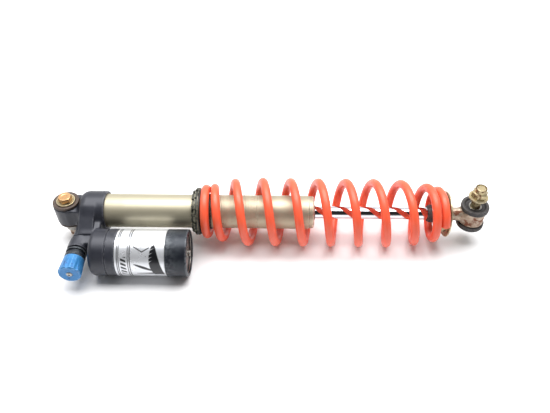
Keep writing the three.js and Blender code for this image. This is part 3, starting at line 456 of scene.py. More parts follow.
def brick(points: Array, low: Sequence[float], high: Sequence[float], edge: float) -> Array:
    """Distance to a box with rounded edges."""
    low, high = np.array(low, float), np.array(high, float)
    away = np.abs(points - (low + high) / 2) - ((high - low) / 2 - edge)
    outside = np.linalg.norm(np.maximum(away, 0), axis=-1)
    return outside + np.minimum(away.max(axis=-1), 0) - edge


def joined(first: Array, second: Array, fillet: float) -> Array:
    """The nearer of two distances, less h^2 f / 4 where they differ by less than the fillet f."""
    share = np.maximum(fillet - np.abs(first - second), 0) / fillet
    return np.minimum(first, second) - share**2 * fillet / 4


def cut(solid: Array, hole: Array, edge: float) -> Array:
    """The first solid without the second, its new edge eased by about that many mm."""
    return -joined(-solid, hole, edge)


def slope(distance: Field, points: Array, reach: float = 0.05) -> Array:
    """The field's gradient by central differences."""
    steps = np.eye(3) * reach
    return np.stack(
        [(distance(points + step) - distance(points - step)) / (2 * reach) for step in steps], axis=-1
    )


def blended(
    axis: Axis, distance: Field, low: Sequence[float], high: Sequence[float], pitch: float
) -> Surface:
    """The closed surface where a distance field is zero, as a net of quads.

    Every grid cell that the surface passes through gets one point, the mean of where its edges cross
    zero, and every crossed edge joins the points of the four cells round it. The points are then
    moved down the slope onto the surface. Wear is the field's Laplacian, high on outer edges.

    Args:
        axis: What the field's coordinates are measured from.
        distance: The field, in mm.
        low: The grid's low corner, clear of the surface.
        high: Its high corner.
        pitch: The size of its cells.
    """
    ticks = [np.arange(a, b + pitch, pitch) for a, b in zip(low, high)]
    grid = np.stack(np.meshgrid(*ticks, indexing="ij"), axis=-1)
    value = distance(grid)
    cells = tuple(n - 1 for n in value.shape)
    total, count = np.zeros((*cells, 3)), np.zeros(cells)
    crossings = []
    for way in range(3):
        order = (way, (way + 1) % 3, (way + 2) % 3)
        turned_value = value.transpose(order)
        here, there = turned_value[:-1], turned_value[1:]
        crossed = (here < 0) != (there < 0)
        share = np.where(crossed, here / np.where(crossed, here - there, 1), 0)
        place = grid.transpose((*order, 3))[:-1] + share[..., None] * pitch * np.eye(3)[way]
        sums, counts = total.transpose((*order, 3)), count.transpose(order)
        across, up = counts.shape[1:]
        for i, j in ((0, 0), (0, 1), (1, 0), (1, 1)):
            near = (slice(None), slice(i, i + across), slice(j, j + up))
            sums += np.where(crossed[near][..., None], place[near], 0)
            counts += crossed[near]
        crossings.append((order, crossed, here < 0))
    held = count > 0
    index = np.full(cells, -1)
    index[held] = np.arange(held.sum())
    quads = []
    for order, crossed, inside in crossings:
        ids = index.transpose(order)
        i, j, k = np.nonzero(crossed[:, 1:-1, 1:-1])
        around = [ids[i, j, k], ids[i, j + 1, k], ids[i, j + 1, k + 1], ids[i, j, k + 1]]
        faces = np.stack(around, axis=-1)
        outward = inside[i, j + 1, k + 1]
        quads.append(np.where(outward[:, None], faces, faces[:, ::-1]))
    points = total[held] / count[held][:, None]
    for _ in range(5):
        fall = slope(distance, points)
        steep = np.maximum(np.sum(fall**2, axis=-1), 0.2)
        points = points - (distance(points) / steep)[:, None] * fall
    around = [distance(points + step) for sign in (1, -1) for step in np.eye(3) * sign]
    bend = np.sum(around, axis=0) - 6 * distance(points)
    wear = np.clip((bend - 0.15) / 0.5, 0, 1)
    return Surface(axis.to_frame(points), np.concatenate(quads), values={"wear": wear})


# ---- Finishes ----


def linear(hex_colour: str) -> tuple[float, float, float, float]:
    """An sRGB hex colour as linear red, green, blue and alpha."""
    parts = [int(hex_colour[i : i + 2], 16) / 255 for i in (1, 3, 5)]
    return (*[c / 12.92 if c <= 0.04045 else ((c + 0.055) / 1.055) ** 2.4 for c in parts], 1.0)


def add(tree: bpy.types.NodeTree, kind: str, values: dict | None = None, **settings) -> bpy.types.Node:
    """Adds a node.

    Args:
        tree: The node tree.
        kind: The node's type.
        values: By input name or number, either a number or colour to set or a socket to link.
        settings: Properties of the node itself.

    Returns:
        The new node.
    """
    node = tree.nodes.new(kind)
    for name, setting in settings.items():
        setattr(node, name, setting)
    for key, value in (values or {}).items():
        if isinstance(value, bpy.types.NodeSocket):
            tree.links.new(value, node.inputs[key])
        else:
            node.inputs[key].default_value = value
    return node


class Lay(Enum):
    """Which way the fine marks of machining run."""

    NONE = "none"
    ROUND_X = "rings along the damper"
    ROUND_Z = "rings along the eye bolts"
    FACE = "rings on the reservoir's end face"


@dataclass(frozen=True)
class Finish:
    """A surface as it is made and as it has aged. Lengths are in mm."""

    name: str
    colour: str
    drift_colour: str  # what the colour wanders to, in soft patches
    metallic: float
    roughness: float
    drift_mm: float = 12.0
    drift: float = 0.5
    spread: float = 0.06  # how far the roughness wanders either way
    grain_mm: float = 1.0
    grain_depth: float = 0.01
    worn_colour: str = "#ffffff"
    wear: float = 0.0  # how much of the outer corners is worn through
    spot_colour: str = "#000000"
    spot_mm: float = 5.0
    spots: float = 0.0  # how much of the surface the spots cover
    spot_roughness: float = 0.7
    coat: float = 0.0
    coat_roughness: float = 0.1
    lay: Lay = Lay.NONE
    lay_mm: float = 1.4
    lay_depth: float = 0.004
    print_colour: str | None = None  # printed where the mesh's ink says so
    centre: tuple[float, float, float] = (0.0, 0.0, 0.0)  # what rings are centred on, in metres

    def centred(self, centre: Sequence[float]) -> "Finish":
        """The same finish with its rings of machining round that point, in metres."""
        return replace(self, centre=tuple(centre))

    def material(self) -> bpy.types.Material:
        """The node material, made once for each finish."""
        found = bpy.data.materials.get(self.name)
        if found is not None:
            return found
        made = bpy.data.materials.new(self.name)
        made.use_nodes = True
        tree = made.node_tree
        tree.nodes.clear()
        place = add(tree, "ShaderNodeTexCoord").outputs["Object"]
        patches = self.noise(tree, place, self.drift_mm, 5)
        colour, roughness = self.base(tree, patches)
        if self.spots > 0:
            colour, roughness = self.spotted(tree, place, colour, roughness)
        if self.wear > 0:
            colour = self.worn(tree, place, colour)
        if self.print_colour is not None:
            ink = add(tree, "ShaderNodeAttribute", attribute_name="ink").outputs["Fac"]
            colour = self.mix(tree, ink, colour, linear(self.print_colour))
        shader = add(
            tree,
            "ShaderNodeBsdfPrincipled",
            {
                "Base Color": colour,
                "Metallic": self.metallic,
                "Roughness": roughness,
                "Coat Weight": self.coat,
                "Coat Roughness": self.coat_roughness,
                "Normal": self.relief(tree, place),
            },
        )
        add(tree, "ShaderNodeOutputMaterial", {"Surface": shader.outputs[0]})
        return made

    def noise(
        self, tree: bpy.types.NodeTree, place: bpy.types.NodeSocket, size_mm: float, detail: float
    ) -> bpy.types.NodeSocket:
        """Soft noise whose patches are about that many mm across."""
        values = {"Vector": place, "Scale": 1 / (size_mm * MM), "Detail": detail, "Roughness": 0.6}
        return add(tree, "ShaderNodeTexNoise", values).outputs["Fac"]

    def ramp(
        self,
        tree: bpy.types.NodeTree,
        value: bpy.types.NodeSocket,
        span: tuple[float, float],
        out: tuple[float, float] = (0, 1),
    ) -> bpy.types.NodeSocket:
        """The value carried from one span to another, smoothly, and held at its ends."""
        keys = ("From Min", "From Max", "To Min", "To Max")
        values = {"Value": value, **dict(zip(keys, (*span, *out)))}
        node = add(tree, "ShaderNodeMapRange", values, interpolation_type="SMOOTHSTEP")
        return node.outputs["Result"]

    def mix(
        self, tree: bpy.types.NodeTree, share: bpy.types.NodeSocket, first: object, second: object
    ) -> bpy.types.NodeSocket:
        """One colour turned into another by a share."""
        node = add(tree, "ShaderNodeMix", data_type="RGBA")
        factor, low, high = node.inputs[0], node.inputs[6], node.inputs[7]
        for socket, value in ((factor, share), (low, first), (high, second)):
            if isinstance(value, bpy.types.NodeSocket):
                tree.links.new(value, socket)
            else:
                socket.default_value = value
        return node.outputs[2]

    def base(
        self, tree: bpy.types.NodeTree, patches: bpy.types.NodeSocket
    ) -> tuple[bpy.types.NodeSocket, bpy.types.NodeSocket]:
        """Colour and roughness that wander together in soft patches."""
        share = self.ramp(tree, patches, (0.35, 0.65), (0, self.drift))
        colour = self.mix(tree, share, linear(self.colour), linear(self.drift_colour))
        low, high = max(self.roughness - self.spread, 0.02), self.roughness + self.spread
        return colour, self.ramp(tree, patches, (0.3, 0.7), (low, high))

    def spotted(
        self,
        tree: bpy.types.NodeTree,
        place: bpy.types.NodeSocket,
        colour: bpy.types.NodeSocket,
        roughness: bpy.types.NodeSocket,
    ) -> tuple[bpy.types.NodeSocket, bpy.types.NodeSocket]:
        """Rust, dirt or scuffs in ragged spots."""
        ragged = self.noise(tree, place, self.spot_mm, 9)
        edge = 0.5 + 0.22 * (0.5 - self.spots)
        share = self.ramp(tree, ragged, (edge - 0.03, edge + 0.06))
        colour = self.mix(tree, share, colour, linear(self.spot_colour))
        values = {0: share, 2: roughness, 3: self.spot_roughness}
        return colour, add(tree, "ShaderNodeMix", values, data_type="FLOAT").outputs[0]

    def worn(
        self, tree: bpy.types.NodeTree, place: bpy.types.NodeSocket, colour: bpy.types.NodeSocket
    ) -> bpy.types.NodeSocket:
        """Outer corners rubbed through in places, from the mesh's own wear."""
        corner = add(tree, "ShaderNodeAttribute", attribute_name="wear").outputs["Fac"]
        patchy = self.ramp(tree, self.noise(tree, place, 4, 6), (0.35, 0.62), (0.1, 1))
        rubbed = add(tree, "ShaderNodeMath", {0: corner, 1: patchy}, operation="MULTIPLY")
        share = self.ramp(tree, rubbed.outputs[0], (0.05, 0.9), (0, self.wear))
        return self.mix(tree, share, colour, linear(self.worn_colour))

    def relief(self, tree: bpy.types.NodeTree, place: bpy.types.NodeSocket) -> bpy.types.NodeSocket:
        """The grain of the surface, and over it the marks of the tool that turned it."""
        grain = self.noise(tree, place, self.grain_mm, 3)
        values = {"Height": grain, "Distance": self.grain_depth * MM, "Strength": 1.0}
        bump = add(tree, "ShaderNodeBump", values)
        if self.lay is Lay.NONE:
            return bump.outputs[0]
        moved = add(tree, "ShaderNodeMapping", {"Vector": place, "Location": [-c for c in self.centre]})
        wave_scale = FULL_TURN / 20 / (self.lay_mm * MM)  # a wave repeats every 2 pi / 20 / scale
        wave = {"Vector": moved.outputs[0], "Scale": wave_scale, "Distortion": 1.5, "Detail": 2.0}
        if self.lay is Lay.FACE:
            marks = add(tree, "ShaderNodeTexWave", wave, wave_type="RINGS", rings_direction="X")
        else:
            way = "X" if self.lay is Lay.ROUND_X else "Z"
            marks = add(tree, "ShaderNodeTexWave", wave, wave_type="BANDS", bands_direction=way)
        values = {
            "Height": marks.outputs["Fac"],
            "Distance": self.lay_depth * MM,
            "Strength": 1.0,
            "Normal": bump.outputs[0],
        }
        return add(tree, "ShaderNodeBump", values).outputs[0]


# Aluminium casting, shot-blasted and black anodised: a bluish satin black with a sandy grain, and
# grey metal where corners are rubbed. The grain is drawn coarser than the real 0.3 mm, to show.
CAST_BLACK = Finish(
    "cast_aluminium_black_anodised", "#272932", "#33353f", metallic=0.3, roughness=0.46,
    drift_mm=22, grain_mm=1.2, grain_depth=0.035, worn_colour="#6c6e76", wear=0.35,
    coat=0.2, coat_roughness=0.35,
)
# Bar aluminium, turned and hard anodised: a champagne oxide with faint rings from the tool.
HARD_ANODISED = Finish(
    "aluminium_hard_anodised", "#b7b09a", "#a9a28b", metallic=0.75, roughness=0.52,
    drift_mm=40, drift=0.35, spread=0.03, grain_mm=2, grain_depth=0.004, lay=Lay.ROUND_X,
    lay_mm=2.4, lay_depth=0.003, worn_colour="#f2eedd", wear=0.5,
)
# Bar aluminium, turned and black anodised, its corners rubbed grey by stones and spanners.
BLACK_ANODISED = Finish(
    "aluminium_black_anodised_scuffed", "#1f232c", "#2d3339", metallic=0.4, roughness=0.42,
    drift_mm=14, drift=0.7, spread=0.08, grain_mm=1.6, grain_depth=0.015, worn_colour="#74787c",
    wear=0.45,
)
# The same anodising faded greenish by sun and washing, on the collar and its lock ring.
FADED_BLACK = Finish(
    "aluminium_black_anodised_faded", "#34352f", "#4a4a40", metallic=0.4, roughness=0.45,
    drift_mm=8, drift=0.8, grain_mm=1.2, grain_depth=0.02, worn_colour="#a09c88", wear=0.75,
    spot_colour="#6e6b5c", spot_mm=4, spots=0.2,
)
# Spring steel under a powder coat: an even orange red with a soft gloss and fine orange peel, drawn
# coarser than real.
POWDER_COAT = Finish(
    "spring_steel_powder_coated", "#ef5d3a", "#e65233", metallic=0.0, roughness=0.45,
    drift_mm=30, drift=0.6, grain_mm=3.5, grain_depth=0.05, coat=0.2, coat_roughness=0.25,
)
# Hard chrome on a ground steel shaft: a mirror with the faintest rings.
CHROME = Finish(
    "steel_hard_chromed", "#dcdce0", "#d2d2d8", metallic=1.0, roughness=0.06, spread=0.02,
    drift_mm=30, grain_mm=8, grain_depth=0.004, lay=Lay.ROUND_X, lay_mm=3, lay_depth=0.0008,
)
# Steel, yellow zinc plated: gold that wanders to straw and olive, browned in patches.
YELLOW_ZINC = Finish(
    "steel_yellow_zinc_plated", "#b9aa84", "#93866a", metallic=0.75, roughness=0.38,
    drift_mm=6, drift=0.8, spread=0.1, grain_mm=1.5, grain_depth=0.03, worn_colour="#ded6be",
    wear=0.5, spot_colour="#75563e", spot_mm=8, spots=0.15, spot_roughness=0.7,
)
# The same plating gone to rust over half its surface.
RUSTY_ZINC = Finish(
    "steel_zinc_plated_rusty", "#b7a795", "#9a8270", metallic=0.55, roughness=0.48,
    drift_mm=7, drift=0.9, spread=0.1, grain_mm=1.2, grain_depth=0.04, worn_colour="#d6c8b4",
    wear=0.4, spot_colour="#80523e", spot_mm=9, spots=0.35, spot_roughness=0.75,
)
# A bolt head whose plating has turned a warm copper gold.
COPPER_GOLD = Finish(
    "steel_zinc_plated_copper_toned", "#c49a6c", "#a67c50", metallic=0.8, roughness=0.36,
    drift_mm=6, drift=0.6, grain_mm=1.2, grain_depth=0.02, worn_colour="#ecd0a4", wear=0.5,
)
# Plain machined steel.
STEEL = Finish(
    "steel_machined", "#a4a29e", "#8c8983", metallic=1.0, roughness=0.36, drift_mm=5,
    grain_mm=1, grain_depth=0.01, worn_colour="#d8d6d0", wear=0.5,
    spot_colour="#6f5c4c", spot_mm=4, spots=0.15,
)
# Bearing bronze.
BRONZE = Finish(
    "bronze_machined", "#b08a4c", "#94703a", metallic=1.0, roughness=0.35, drift_mm=4,
)
# Moulded nitrile rubber with road dust in it: matt charcoal.
RUBBER = Finish(
    "rubber_moulded_dusty", "#2c2a2b", "#3d3a3a", metallic=0.0, roughness=0.62, drift_mm=7,
    drift=0.8, spread=0.12, grain_mm=1.2, grain_depth=0.04, worn_colour="#5a5654", wear=0.5,
    spot_colour="#4e4a47", spot_mm=5, spots=0.15,
)
# The upper eye's bush, browned by grease and rust from its bolt.
BROWN_BUSH = Finish(
    "bush_rubber_browned", "#2e2524", "#44362f", metallic=0.0, roughness=0.5, drift_mm=6,
    drift=0.8, grain_mm=1.2, grain_depth=0.04, worn_colour="#64503f", wear=0.45,
    spot_colour="#54412f", spot_mm=5, spots=0.12,
)
# Filled PTFE bands.
PTFE = Finish("ptfe_filled", "#dcd8cc", "#c8c2b0", metallic=0.0, roughness=0.5)
# Acetal, moulded, for washers and the top-out bumper.
ACETAL = Finish("acetal_moulded", "#2e302d", "#3c3e3a", metallic=0.0, roughness=0.45)
# A polyester sleeve with a satin silver face and black print, on the reservoir.
PRINTED_SLEEVE = Finish(
    "polyester_sleeve_silver_printed", "#e4e6ea", "#d8dbe1", metallic=0.55, roughness=0.3,
    drift_mm=30, grain_mm=4, grain_depth=0.01, coat=0.5, coat_roughness=0.15,
    print_colour="#1c1d22",
)
# The plate in the reservoir's end, turned, clear anodised and dulled brown.
DULL_PLATE = Finish(
    "aluminium_anodised_dulled", "#7c7370", "#645b58", metallic=0.6, roughness=0.42, drift_mm=6,
    drift=0.7, grain_mm=1.5, grain_depth=0.02, worn_colour="#b8b2aa", wear=0.6,
    lay=Lay.FACE, lay_mm=1.8, lay_depth=0.01,
)
# Bar aluminium, blasted and dyed blue in the anodising, with pale rubbed ridges.
BLUE_ANODISED = Finish(
    "aluminium_blue_anodised", "#2f74ae", "#3f86bf", metallic=0.3, roughness=0.4, drift_mm=9,
    drift=0.6, spread=0.08, grain_mm=1.2, grain_depth=0.02, worn_colour="#86b4dc", wear=0.5,
    spot_colour="#2c5f96", spot_mm=7, spots=0.08, spot_roughness=0.5,
)

# A board painted an even matt white, under the shock.
FLOOR_PAINT = Finish(
    "floor_white_paint", "#f4f4f5", "#f1f1f2", metallic=0.0, roughness=0.7, drift_mm=900, drift=0.2,
    grain_mm=30, grain_depth=0.0,
)

SLOT_FINISHES = {
    "cast_black": CAST_BLACK,
    "hard_anodised": HARD_ANODISED,
    "black_anodised": BLACK_ANODISED,
    "collar_black": FADED_BLACK,
    "spring_red": POWDER_COAT,
    "chrome": CHROME,
    "zinc_yellow": YELLOW_ZINC,
    "zinc_rusty": RUSTY_ZINC,
    "steel": STEEL,
    "bronze": BRONZE,
    "rubber": RUBBER,
    "bush_brown": BROWN_BUSH,
    "ptfe": PTFE,
    "polymer": ACETAL,
    "print_silver": PRINTED_SLEEVE,
    "grey_anodised": DULL_PLATE,
    "knob_blue": BLUE_ANODISED,
}


def stand_in(
    name: str, surface: Surface, node: str, finish: Finish | None = None, sharp: float = 38
) -> bpy.types.Object:
    """Puts a finished surface in place of the CAD node it stands for, on that node's body.

    Args:
        name: The new piece's name.
        surface: Its mesh in arrays.
        node: The CAD node that it replaces.
        finish: Its finish, or None for the one of the node's material slot.
        sharp: Edges that bend by more than this many degrees stay crisp.

    Returns:
        The new object.
    """
    slot = NODE_SLOT[node]
    mesh = surface.mesh(name, sharp)
    mesh.materials.append((finish or SLOT_FINISHES[slot]).material())
    piece = bpy.data.objects.new(name, mesh)
    bpy.context.scene.collection.objects.link(piece)
    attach(piece, NODE_BODY[node])
    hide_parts(node)
    LOG.info("%s: %d faces on %s", name, len(mesh.polygons), NODE_BODY[node])
    return piece


# ---- Sub-assemblies ----


@dataclass
class HeadCasting:
    """The one casting: upper eye, neck, tube cap, bridge block, adjuster barrel and reservoir head."""

    datum: Datum
    eye_radius: float = 17.0
    eye_half: float = 13.0
    bore_radius: float = 13.3
    bush_radius: float = 16.4
    cap_start: float = 17.0
    cap_crown: float = 12.0  # how far the cap rounds over
    cap_end: float = 51.5
    cap_radius: float = 25.0
    block_start: float = 22.0
    block_end: float = 40.5
    block_high: float = 21.0  # its top, level near the cap and then sloping down to the barrel
    slope_start: float = 13.0
    slope_reach: float = 43.0
    barrel_radius: float = 12.5
    barrel_reach: float = 60.0
    head_start: float = 42.0
    head_end: float = 75.0
    head_radius: float = 29.0
    fillet: float = 3.5
    net_mm: float = 0.8

    def distance(self, points: Array) -> Array:
        """Distance to the casting: bars and boxes joined with fillets, then bored and grooved.

        Args:
            points: Places along X, Y and Z from the upper eye's centre, in mm.
        """
        x, y, z = points[..., 0], points[..., 1], points[..., 2]
        lean = self.datum.bridge.directions()[1]
        across = y * lean[1] + z * lean[2]  # along the leaning bridge, negative towards the reservoir
        rise = z * lean[1] - y * lean[2]
        leaning = np.stack([x, across, rise], axis=-1)
        off_damper, off_eye = np.hypot(y, z), np.hypot(x, y)
        barrel_line, centre = self.datum.adjuster.origin, self.datum.upper_eye.origin
        barrel_x, barrel_z = (barrel_line[0] - centre[0]) / MM, (barrel_line[2] - centre[2]) / MM
        off_barrel = np.hypot(x - barrel_x, z - barrel_z)
        offset = math.dist(self.datum.damper.origin, self.datum.reservoir.origin) / MM
        off_reservoir = np.hypot(across + offset, rise)

        eye = rod(z, off_eye, -self.eye_half, self.eye_half, self.eye_radius, 1.6)
        half, side = self.eye_half - 0.5, self.eye_radius - 0.5
        neck = brick(points, (0, -side, -half), (self.cap_start + 14, side, half), 2.5)
        crown = self.cap_crown
        cap = rod(x, off_damper, self.cap_start, self.cap_end + crown, self.cap_radius, crown)
        cap = cut(cap, self.cap_end - x, 1.6)
        low = (self.block_start, -self.slope_reach, -self.barrel_radius - 0.5)
        block = brick(points, low, (self.block_end, -2, self.block_high), 1.5)
        fall, run = self.block_high - 0.5, self.slope_reach - self.slope_start
        above = ((-y - self.slope_start) * fall + (z - self.block_high) * run) / math.hypot(fall, run)
        block = cut(block, -above, 1.5)
        web_half, web_end = self.barrel_radius - 1, self.head_start + 6
        bridge = brick(leaning, (self.block_start + 3, -42, -web_half), (web_end, -8, web_half), 3.0)
        web = brick(leaning, (barrel_x, 5 - self.barrel_reach, -web_half), (web_end, -20, web_half), 2.5)
        barrel = rod(-y, off_barrel, 10, self.barrel_reach, self.barrel_radius, 1.2)
        foot, foot_y = self.block_start + 0.5, 12 - self.slope_reach
        taper = (22 * (foot - x) + 12 * (y - foot_y)) / 25  # leans out to the barrel's rim
        core = rod(-y, off_barrel, 12, self.barrel_reach - 4, self.barrel_radius - 2.3, 0.8)
        barrel = joined(cut(barrel, -taper, 1.5), core, 1.0)  # the core holds the base valve
        head = rod(x, off_reservoir, self.head_start, self.head_end + 12, self.head_radius, 6.5)
        head = cut(head, self.head_end - x, 1.2)

        whole = joined(joined(eye, neck, 2.5), cap, self.fillet)
        bridge = joined(joined(joined(block, barrel, 1.0), web, 2.5), bridge, 2.5)
        bridge = joined(bridge, head, self.fillet - 1)
        seams = [np.abs(y + self.slope_reach + 1), np.abs(x - self.head_end + 12)]
        for seam, width in zip(seams, (0.55, 0.6)):
            bridge = cut(bridge, np.maximum(seam - width, -bridge - 0.9), 0.5)
        whole = joined(whole, bridge, self.fillet)

        tube = self.datum.damper.extent("body_tube")
        tube_start = tube.start - centre[0] / MM
        flask = self.datum.reservoir.extent("reservoir_tube")
        flask_start = flask.start - centre[0] / MM
        beyond = 30.0
        spot = rod(np.abs(z), off_eye, self.eye_half, self.eye_half + 8, self.bush_radius + 0.6, 0.3)
        bore = rod(z, off_eye, -beyond, beyond, self.bore_radius, 0.1)
        socket = rod(x, off_damper, tube_start - 0.3, tube_start + beyond, tube.outer + 0.3, 0.3)
        well = rod(x, off_reservoir, flask_start, flask_start + beyond, flask.outer - 0.8, 0.3)
        pocket = rod(-y, off_barrel, 38, self.barrel_reach + beyond, self.barrel_radius - 2.9, 0.3)
        for hole in (spot, bore, socket, well, pocket):
            whole = cut(whole, hole, 0.8)
        return whole

    def build(self) -> None:
        """Nets the casting and puts it on the damper's body."""
        eye = self.datum.upper_eye.origin
        axis = Axis(eye, (1, 0, 0), (0, 1, 0))
        low, high = (np.array(corner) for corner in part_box("head_casting"))
        low, high = (low - eye) / MM - 3, (high - eye) / MM + 3
        surface = blended(axis, self.distance, low, high, self.net_mm)
        stand_in("cast_head", surface, "head_casting", sharp=50)


@dataclass
class DamperTube:
    """The hard-anodised tube with its thread, and the seal head that closes it."""

    datum: Datum
    thread_back: float = 149.0  # from the tube's open end to where the thread begins
    thread_stop: float = 66.5  # and to where it ends, in a groove
    pitch: float = 2.0
    depth: float = 0.32

    def build(self) -> None:
        """Builds the tube, the seal head and the wiper in it."""
        axis = self.datum.damper
        tube = axis.extent("body_tube")
        first, last = tube.end - self.thread_back, tube.end - self.thread_stop
        rows = [(along, tube.outer, 0) for along in np.arange(first, last, self.pitch / 8)]
        outline = [
            (tube.start, tube.inner, 0),
            (tube.start, tube.outer, 0.5),
            *rows,
            (last + 0.2, tube.outer, 0),
            (last + 0.5, tube.outer - 0.5, 0.2),
            (last + 1.8, tube.outer - 0.5, 0.2),
            (last + 2.1, tube.outer, 0.1),
            (tube.end, tube.outer, 0.5),
            (tube.end, tube.inner, 0.3),
        ]
        cutting = thread(first, last, tube.outer, self.pitch, self.depth)
        stand_in("damper_tube", turned(axis, outline, cutting, 96), "body_tube")

        head = axis.extent("seal_head")
        flange = tube.end + 0.3
        barrel = tube.inner - 0.3
        pocket = head.inner + 3.7
        outline = [
            (head.start, head.inner, 0),
            (head.start, barrel, 0.5),
            (flange, barrel, 0),
            (flange, head.outer, 0.4),
            (head.end, head.outer, 2.4),
            (head.end, pocket, 0.4),
            (head.end - 7, pocket, 0),
            (head.end - 7, head.inner, 0),
        ]
        stand_in("seal_head_turned", turned(axis, outline), "seal_head")

        wiper = axis.extent("dust_wiper")
        outline = [
            (wiper.start, wiper.inner + 0.6, 0),
            (wiper.start, wiper.outer, 0),
            (head.end - 0.2, wiper.outer, 0.3),
            (head.end + 0.1, wiper.outer - 1.2, 0.4),
            (wiper.end, wiper.inner + 1.1, 0.4),
            (wiper.end, wiper.inner, 0.2),
        ]
        stand_in("wiper_lip", turned(axis, outline, columns=64), "dust_wiper")


@dataclass
class CoilSpring:
    """The barrel-shaped spring: a centre line that carries a round wire."""

    datum: Datum
    wire: float = 5.5  # the wire's radius
    coat_gap: float = 0.03  # left inside the CAD wire
    tip: float = -0.05  # turns from the wire's first end to the top of the first coil
    last: float = 10.34
    bulge: float = 9.4
    last_wider: float = 0.3
    clearance: float = 0.3
    first_pitch: float = 3.0
    closed_pitch: float = 20.0
    held_coils: float = 17.0  # the length of each end that rests on its seat
    steps_per_turn: int = 72
    sides: int = 32

    @staticmethod
    def eased(low: float, high: float, value: Array) -> Array:
        """Smoothstep: 3t^2 - 2t^3 of the share t of the way from low to high."""
        t = np.clip((value - low) / (high - low), 0, 1)
        return t * t * (3 - 2 * t)

    @staticmethod
    def eased_area(low: float, high: float, value: Array) -> Array:
        """The integral of smoothstep: w (t^3 - t^4 / 2) over its width w, then one for one."""
        t = np.clip((value - low) / (high - low), 0, 1)
        return (high - low) * (t**3 - t**4 / 2) + np.maximum(value - high, 0)

    def centre_line(self) -> Array:
        """Points down the middle of the wire, in metres.

        At turn n the wire stands R(n) from the axis at the angle 45 degrees + 360 n. Its first half
        turn lies nearly flat on the washer. The pitch then opens by smoothstep to that of the closed
        coils and on to that of the open ones, closes again at the seat, and R swells to a barrel.
        """
        axis = self.datum.damper
        start = axis.extent("coil_spring").start
        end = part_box("spring_retainer")[0].x / MM + 10 - self.clearance
        first_radius = COLLAR_SPIGOT + 1 + self.wire
        last = self.last
        n = np.linspace(self.tip, last, int(self.steps_per_turn * (last - self.tip)) + 1)
        lifts = self.eased_area(0.35, 0.75, n)
        closing = self.eased_area(last - 1.8, last - 0.8, n)
        opens = self.eased_area(1.2, 2.0, n) - closing
        held = self.first_pitch * n + (self.closed_pitch - self.first_pitch) * lifts
        held -= (self.closed_pitch - 2 * self.wire - self.clearance) * closing
        travel = end - start - 2 * self.wire
        along = start + self.wire + held + (travel - held[-1]) / opens[-1] * opens
        radius = first_radius + self.bulge * self.eased(0.6, 2.5, n)
        radius -= (self.bulge - self.last_wider) * self.eased(last - 2.9, last, n)
        angle = math.pi / 4 + FULL_TURN * n
        return axis.to_frame(np.stack([along, radius * np.cos(angle), radius * np.sin(angle)], axis=-1))

    def sweep(self, material: bpy.types.Material, face: float) -> bpy.types.NodeTree:
        """Geometry nodes that carry a circle along the line.

        The circle is carried along the line as it is built.

        Args:
            material: The wire's material.
            face: Where the first coil is ground flat, in metres.
        """
        tree = bpy.data.node_groups.new("round_wire", "GeometryNodeTree")
        tree.interface.new_socket("Geometry", in_out="INPUT", socket_type="NodeSocketGeometry")
        tree.interface.new_socket("Geometry", in_out="OUTPUT", socket_type="NodeSocketGeometry")
        line = add(tree, "NodeGroupInput").outputs[0]
        curve = add(tree, "GeometryNodeMeshToCurve", {"Mesh": line})
        values = {"Resolution": self.sides, "Radius": (self.wire - self.coat_gap) * MM}
        circle = add(tree, "GeometryNodeCurvePrimitiveCircle", values)
        values = {"Curve": curve.outputs[0], "Profile Curve": circle.outputs[0], "Fill Caps": True}
        tube = add(tree, "GeometryNodeCurveToMesh", values)
        place = add(tree, "GeometryNodeInputPosition")
        split = add(tree, "ShaderNodeSeparateXYZ", {0: place.outputs[0]})
        ground = add(tree, "ShaderNodeMath", {0: split.outputs[0], 1: face}, operation="MAXIMUM")
        flat = {0: ground.outputs[0], 1: split.outputs[1], 2: split.outputs[2]}
        flat = add(tree, "ShaderNodeCombineXYZ", flat)
        values = {"Geometry": tube.outputs[0], "Position": flat.outputs[0]}
        cut_flat = add(tree, "GeometryNodeSetPosition", values)
        smooth = add(tree, "GeometryNodeSetShadeSmooth", {"Geometry": cut_flat.outputs[0]})
        dressed = add(tree, "GeometryNodeSetMaterial", {"Geometry": smooth.outputs[0]})
        dressed.inputs["Material"].default_value = material
        add(tree, "NodeGroupOutput", {0: dressed.outputs[0]})
        return tree

    def build(self) -> None:
        """Builds the spring, from the collar at one end to the seat at the other."""
        points = self.centre_line()
        count = len(points)
        links = np.stack([np.arange(count - 1), np.arange(1, count)], axis=-1)
        mesh = bpy.data.meshes.new("spring_wire")
        mesh.from_pydata(points.tolist(), links.tolist(), [])
        material = POWDER_COAT.material()
        mesh.materials.append(material)
        spring = bpy.data.objects.new("spring_wire", mesh)
        bpy.context.scene.collection.objects.link(spring)
        low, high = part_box("coil_spring")
        modifier = spring.modifiers.new("round_wire", "NODES")
        modifier.node_group = self.sweep(material, low.x)
        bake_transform(spring)
        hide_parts("coil_spring")
        LOG.info("spring_wire: %d points down its middle", count)


